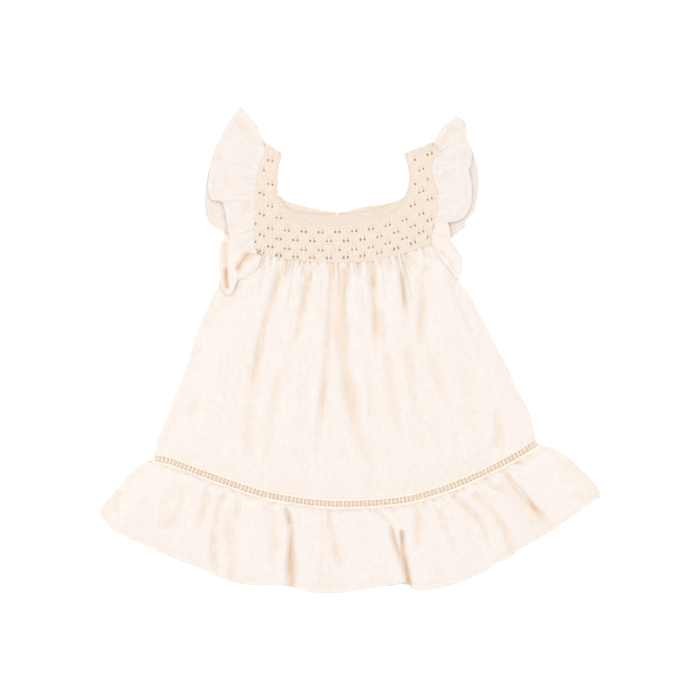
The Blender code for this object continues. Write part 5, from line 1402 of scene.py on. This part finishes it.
def waves_at(tree, place, scale, distortion, detail, detail_scale, direction="X"):
    """Wave texture's value at a place."""
    values = {"Scale": scale, "Distortion": distortion, "Detail": detail, "Detail Scale": detail_scale}
    return linked(tree, "ShaderNodeTexWave", values, {"Vector": place}, bands_direction=direction).outputs[1]


def streaks(tree, place, scale, seed):
    """Noise stretched along one axis, as slubs of yarn."""
    spot = linked(tree, "ShaderNodeMapping", {"Scale": scale, "Location": (seed, seed * 0.7, 0)},
                  {"Vector": place})
    return noise_at(tree, spot.outputs[0], 1.0, 2.0, 0.6)


def blend(tree, a, of_a, b, of_b):
    """Two values, each times its weight, added up."""
    return maths(tree, "ADD", maths(tree, "MULTIPLY", a, of_a), maths(tree, "MULTIPLY", b, of_b))


def ramped(tree, share, low, deep, high, colour):
    """Colour that runs from deep, up to the low share, to colour, from the high share on."""
    ramp = linked(tree, "ShaderNodeValToRGB", links={"Fac": share})
    for element, position, tint in zip(ramp.color_ramp.elements, (low, high), (deep, colour)):
        element.position = position
        element.color = (*tint, 1.0)
    return ramp.outputs[0]


def surfaced(tree, shader, colour, height, strength, distance):
    """Give the shader its colour and the bump of a height."""
    bump = linked(tree, "ShaderNodeBump", {"Strength": strength, "Distance": distance}, {"Height": height})
    tree.links.new(colour, shader.inputs["Base Color"])
    tree.links.new(bump.outputs[0], shader.inputs["Normal"])


# Painted shade and painted light: how a hollow tints the cloth, lighter on ridges, whose hollow lies below
# its mean level, and warmer and darker from its mean level up to the deepest folds.
PAINTED_SHADE_TINTS = [(-0.3, (1.0, 1.0, 1.0)), (0.0, (0.990, 0.982, 0.974)), (1.0, (0.950, 0.835, 0.725)),
         (2.0, (0.80, 0.58, 0.42))]
CREASE_SHADE = 0.20    # painted shade: how much darker the bottom of a fine crease is


def painted_shade_colour(tree, colour):
    """Painted shade and painted light: colour turned warmer and darker in the hollows of the folds and
    darker at the bottom of fine creases, and lighter on the ridges, as the mesh's own layers give them.
    """
    layer = linked(tree, "ShaderNodeAttribute", attribute_name="hollow")
    low = PAINTED_SHADE_TINTS[0][0]
    span = PAINTED_SHADE_TINTS[-1][0] - low
    share = linked(tree, "ShaderNodeMapRange", {"From Min": low, "From Max": low + span},
                   {"Value": layer.outputs["Fac"]})
    ramp = linked(tree, "ShaderNodeValToRGB", links={"Fac": share.outputs[0]})
    ramp.color_ramp.elements[1].position = 1.0
    for row in PAINTED_SHADE_TINTS[1:-1]:
        ramp.color_ramp.elements.new((row[0] - low) / span)
    for element, row in zip(ramp.color_ramp.elements, PAINTED_SHADE_TINTS):
        element.color = (*row[1], 1.0)
    crease = linked(tree, "ShaderNodeAttribute", attribute_name="crease")
    shade = maths(tree, "MULTIPLY", crease.outputs["Fac"], CREASE_SHADE)
    shaded = multiplied(tree, colour, maths(tree, "SUBTRACT", 1.0, shade))
    return multiplied(tree, shaded, ramp.outputs[0])


def multiplied(tree, colour, other):
    """Product of two colours."""
    mixed = tree.nodes.new("ShaderNodeMix")
    mixed.data_type = "RGBA"
    mixed.blend_type = "MULTIPLY"
    mixed.inputs["Factor"].default_value = 1.0
    colours = [s for s in mixed.inputs if s.type == "RGBA"]
    tree.links.new(colour, colours[0])
    tree.links.new(other, colours[1])
    return [s for s in mixed.outputs if s.type == "RGBA"][0]


def cotton(name, colour, deep):
    """Washed slubby cotton: a plain weave with thicker yarns both ways and a soft mottle."""
    made, tree, shader = new_material(name, 0.92, 0.15)
    place = linked(tree, "ShaderNodeTexCoord").outputs["Object"]
    weft = streaks(tree, place, (120.0, 640.0, 200.0), 3.0)
    warp = streaks(tree, place, (620.0, 90.0, 200.0), 9.0)
    slub = blend(tree, weft, 0.3, warp, 0.7)
    mottle = noise_at(tree, place, 210.0, 4.0, 0.62)
    base = ramped(tree, blend(tree, slub, 0.65, mottle, 0.35), 0.30, deep, 0.62, colour)
    threads = [waves_at(tree, place, 480.0, 1.5, 1.0, 2.0, direction) for direction in "XY"]
    weave = maths(tree, "MULTIPLY", *threads)
    height = blend(tree, blend(tree, weave, 0.35, slub, 1.0), 1.0, mottle, 0.8)
    surfaced(tree, shader, painted_shade_colour(tree, base), height, 0.8, 0.0007)
    return made


def knitted(name, colour, deep):
    """Knitted cotton: columns of V-shaped stitches, read from the mesh's own stitch coordinates, with
    painted shade in the stitches' low parts and round the eyelets.
    """
    made, tree, shader = new_material(name, 0.95, 0.2)
    knit, rib = [linked(tree, "ShaderNodeAttribute", attribute_name=title) for title in ("knit", "rib")]
    split = linked(tree, "ShaderNodeSeparateXYZ", links={"Vector": knit.outputs["Vector"]})
    ribs = linked(tree, "ShaderNodeSeparateXYZ", links={"Vector": rib.outputs["Vector"]})
    in_band = maths(tree, "GREATER_THAN", ribs.outputs[2], 0.0)

    def chosen(axis):
        step = maths(tree, "SUBTRACT", ribs.outputs[axis], split.outputs[axis])
        return maths(tree, "ADD", split.outputs[axis], maths(tree, "MULTIPLY", step, in_band))

    wale, course, hole = chosen(0), chosen(1), split.outputs[2]
    place = linked(tree, "ShaderNodeTexCoord").outputs["Object"]
    within = maths(tree, "SUBTRACT", maths(tree, "FRACT", wale), 0.5)
    leg = maths(tree, "ABSOLUTE", within)
    from_leg = maths(tree, "ABSOLUTE", maths(tree, "SUBTRACT", leg, 0.25))
    across = maths(tree, "SUBTRACT", 1.0, maths(tree, "MULTIPLY", from_leg, 3.6))
    phase = maths(tree, "FRACT", blend(tree, course, 1.0, leg, 1.4))
    along = maths(tree, "SINE", maths(tree, "MULTIPLY", phase, math.pi))
    stitch = maths(tree, "MULTIPLY", across, along)
    # Painted shade: the colour is darker in the low parts of each stitch, round the eyelets and the open
    # stitches above them, and between the columns; the noise is the yarn's own uneven tone.
    tone = blend(tree, stitch, 0.55, noise_at(tree, place, 260.0, 3.0), 0.5)
    tone = blend(tree, tone, 1.0, hole, -0.60)
    between = maths(tree, "MAXIMUM", maths(tree, "MULTIPLY", maths(tree, "SUBTRACT", leg, 0.34), 3.0), 0.0)
    base = ramped(tree, maths(tree, "SUBTRACT", tone, between), 0.0, deep, 0.52, colour)
    height = blend(tree, stitch, 1.0, noise_at(tree, place, 900.0, 3.0), 0.35)
    surfaced(tree, shader, base, height, 0.7, 0.0006)
    return made


def corded(name, colour, deep):
    """Twisted cotton thread of the trim and of the sewing."""
    made, tree, shader = new_material(name, 0.85, 0.1)
    place = linked(tree, "ShaderNodeTexCoord").outputs["Object"]
    twist = waves_at(tree, place, 240.0, 2.5, 2.0, 3.0, "DIAGONAL")
    tone = blend(tree, twist, 0.5, noise_at(tree, place, 700.0, 3.0), 0.5)
    base = ramped(tree, tone, 0.15, deep, 0.75, colour)
    surfaced(tree, shader, painted_shade_colour(tree, base), tone, 0.6, 0.0004)
    return made


# ---------------------------------------------------------------- floor, light and camera, in metres
FLOOR_HALF = 4.0
FLOOR_Z = -0.0006
WORLD_STRENGTH = 0.72
LIGHT_SIZE = 1.2
LIGHTS = [("light_left", (-1.5, 0.4, 1.3), 10.0), ("light_right", (1.5, 0.1, 1.4), 8.0),
          ("light_top", (0.1, 1.6, 1.4), 6.0), ("light_foot", (-0.1, -1.6, 1.4), 7.0)]
CAMERA = (-0.0005, -0.0005, 2.08)


def stage():
    """Pale floor, white surroundings, soft light and a camera straight above."""
    made, tree, shader = new_material("floor_white", 0.95, 0.0)
    place = linked(tree, "ShaderNodeTexCoord").outputs["Object"]
    grain = ramped(tree, noise_at(tree, place, 30.0, 2.0), 0.0, (0.955,) * 3, 1.0, (0.965,) * 3)
    tree.links.new(grain, shader.inputs["Base Color"])
    shader.inputs["Emission Color"].default_value = (1.0, 1.0, 1.0, 1.0)
    shader.inputs["Emission Strength"].default_value = 0.4
    corners = [(x * FLOOR_HALF, y * FLOOR_HALF, FLOOR_Z) for x, y in ((-1, -1), (1, -1), (1, 1), (-1, 1))]
    mesh = bpy.data.meshes.new("floor")
    mesh.from_pydata(corners, [], [(0, 1, 2, 3)])
    mesh.materials.append(made)
    floor = bpy.data.objects.new("floor", mesh)
    bpy.context.scene.collection.objects.link(floor)

    world = bpy.data.worlds.new("white_room")
    world.use_nodes = True
    world.node_tree.nodes["Background"].inputs["Color"].default_value = (1.0, 1.0, 1.0, 1.0)
    world.node_tree.nodes["Background"].inputs["Strength"].default_value = WORLD_STRENGTH
    bpy.context.scene.world = world

    for name, spot, power in LIGHTS:
        lamp = bpy.data.lights.new(name, "AREA")
        lamp.shape = "SQUARE"
        lamp.size = LIGHT_SIZE
        lamp.energy = power
        made = bpy.data.objects.new(name, lamp)
        made.location = spot
        made.rotation_euler = (-Vector(spot)).to_track_quat("-Z", "Y").to_euler()
        bpy.context.scene.collection.objects.link(made)

    lens = bpy.data.cameras.new("camera")
    lens.lens = 100.0
    lens.sensor_width = 36.0
    camera = bpy.data.objects.new("camera", lens)
    camera.location = CAMERA
    bpy.context.scene.collection.objects.link(camera)
    bpy.context.scene.camera = camera
    bpy.context.scene.view_settings.view_transform = "Standard"


# ---------------------------------------------------------------- the dress
def build():
    cloth = cotton("ivory_cotton", (0.970, 0.909, 0.860), (0.905, 0.836, 0.781))
    # The sleeves' cotton: the same cloth a little darker, as painted shade.
    flounce = cotton("ivory_cotton_shaded_sleeves", (0.950, 0.889, 0.846), (0.886, 0.816, 0.766))
    knit = knitted("oatmeal_knit", (0.965, 0.865, 0.765), (0.85, 0.685, 0.545))
    thread = corded("cream_trim", (0.965, 0.884, 0.792), (0.915, 0.805, 0.680))
    sewing = corded("sewing_thread", (0.95, 0.89, 0.83), (0.88, 0.80, 0.72))

    skirt = front_skirt(cloth)
    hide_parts("front_skirt")
    ruffle, ruffle_hem = front_ruffle(cloth)
    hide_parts("front_ruffle")
    trim = ladder("dress_front_trim", front_trim_at, FRONT_TRIM_INSET, 0.0, BAR_WIDTH,
                  FRONT_BAR_SHADE, thread, 71)
    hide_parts("front_trim")
    yoke = front_yoke(knit)
    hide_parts("front_yoke")
    yoke_back = back_yoke(knit)
    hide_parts("back_yoke")

    back = back_sheet("dress_back_skirt", skirt_head, skirt_foot, skirt_sides, 121, 161, 81, cloth, False)
    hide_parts("back_skirt")
    ruffle_back = back_sheet("dress_back_ruffle", ruffle_head, back_hem(), ruffle_sides, 61, 261, 91, cloth,
                             True)
    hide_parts("back_ruffle")
    trim_back = ladder("dress_back_trim", back_trim_at, BACK_TRIM_INSET, BACK_BAR_SHIFT, BACK_BAR_WIDTH,
                       BACK_BAR_SHADE, thread, 72)
    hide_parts("back_trim")

    right_sleeve, right_hem = sleeve("dress_right_sleeve", RIGHT_SLEEVE, flounce, 101)
    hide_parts("right_sleeve")
    left_sleeve, left_hem = sleeve("dress_left_sleeve", LEFT_SLEEVE, flounce, 111)
    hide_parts("left_sleeve")
    right_frill, right_frill_hem = frill("dress_right_underarm_frill", RIGHT_FRILL, RIGHT_FRILL_FOLDS,
                                         RIGHT_FRILL_SHADE, cloth, 121)
    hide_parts("right_underarm_frill")
    left_frill, left_frill_hem = frill("dress_left_underarm_frill", LEFT_FRILL, LEFT_FRILL_FOLDS,
                                       LEFT_FRILL_SHADE, cloth, 131)
    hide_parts("left_underarm_frill")

    ruffle_sewn = stitches("dress_ruffle_stitches", ruffle_hem, sewing, 141)
    right_sewn = stitches("dress_right_sleeve_stitches", right_hem, sewing, 142)
    left_sewn = stitches("dress_left_sleeve_stitches", left_hem, sewing, 143)
    right_frill_sewn = stitches("dress_right_frill_stitches", right_frill_hem, sewing, 144)
    left_frill_sewn = stitches("dress_left_frill_stitches", left_frill_hem, sewing, 145)


build()
stage()
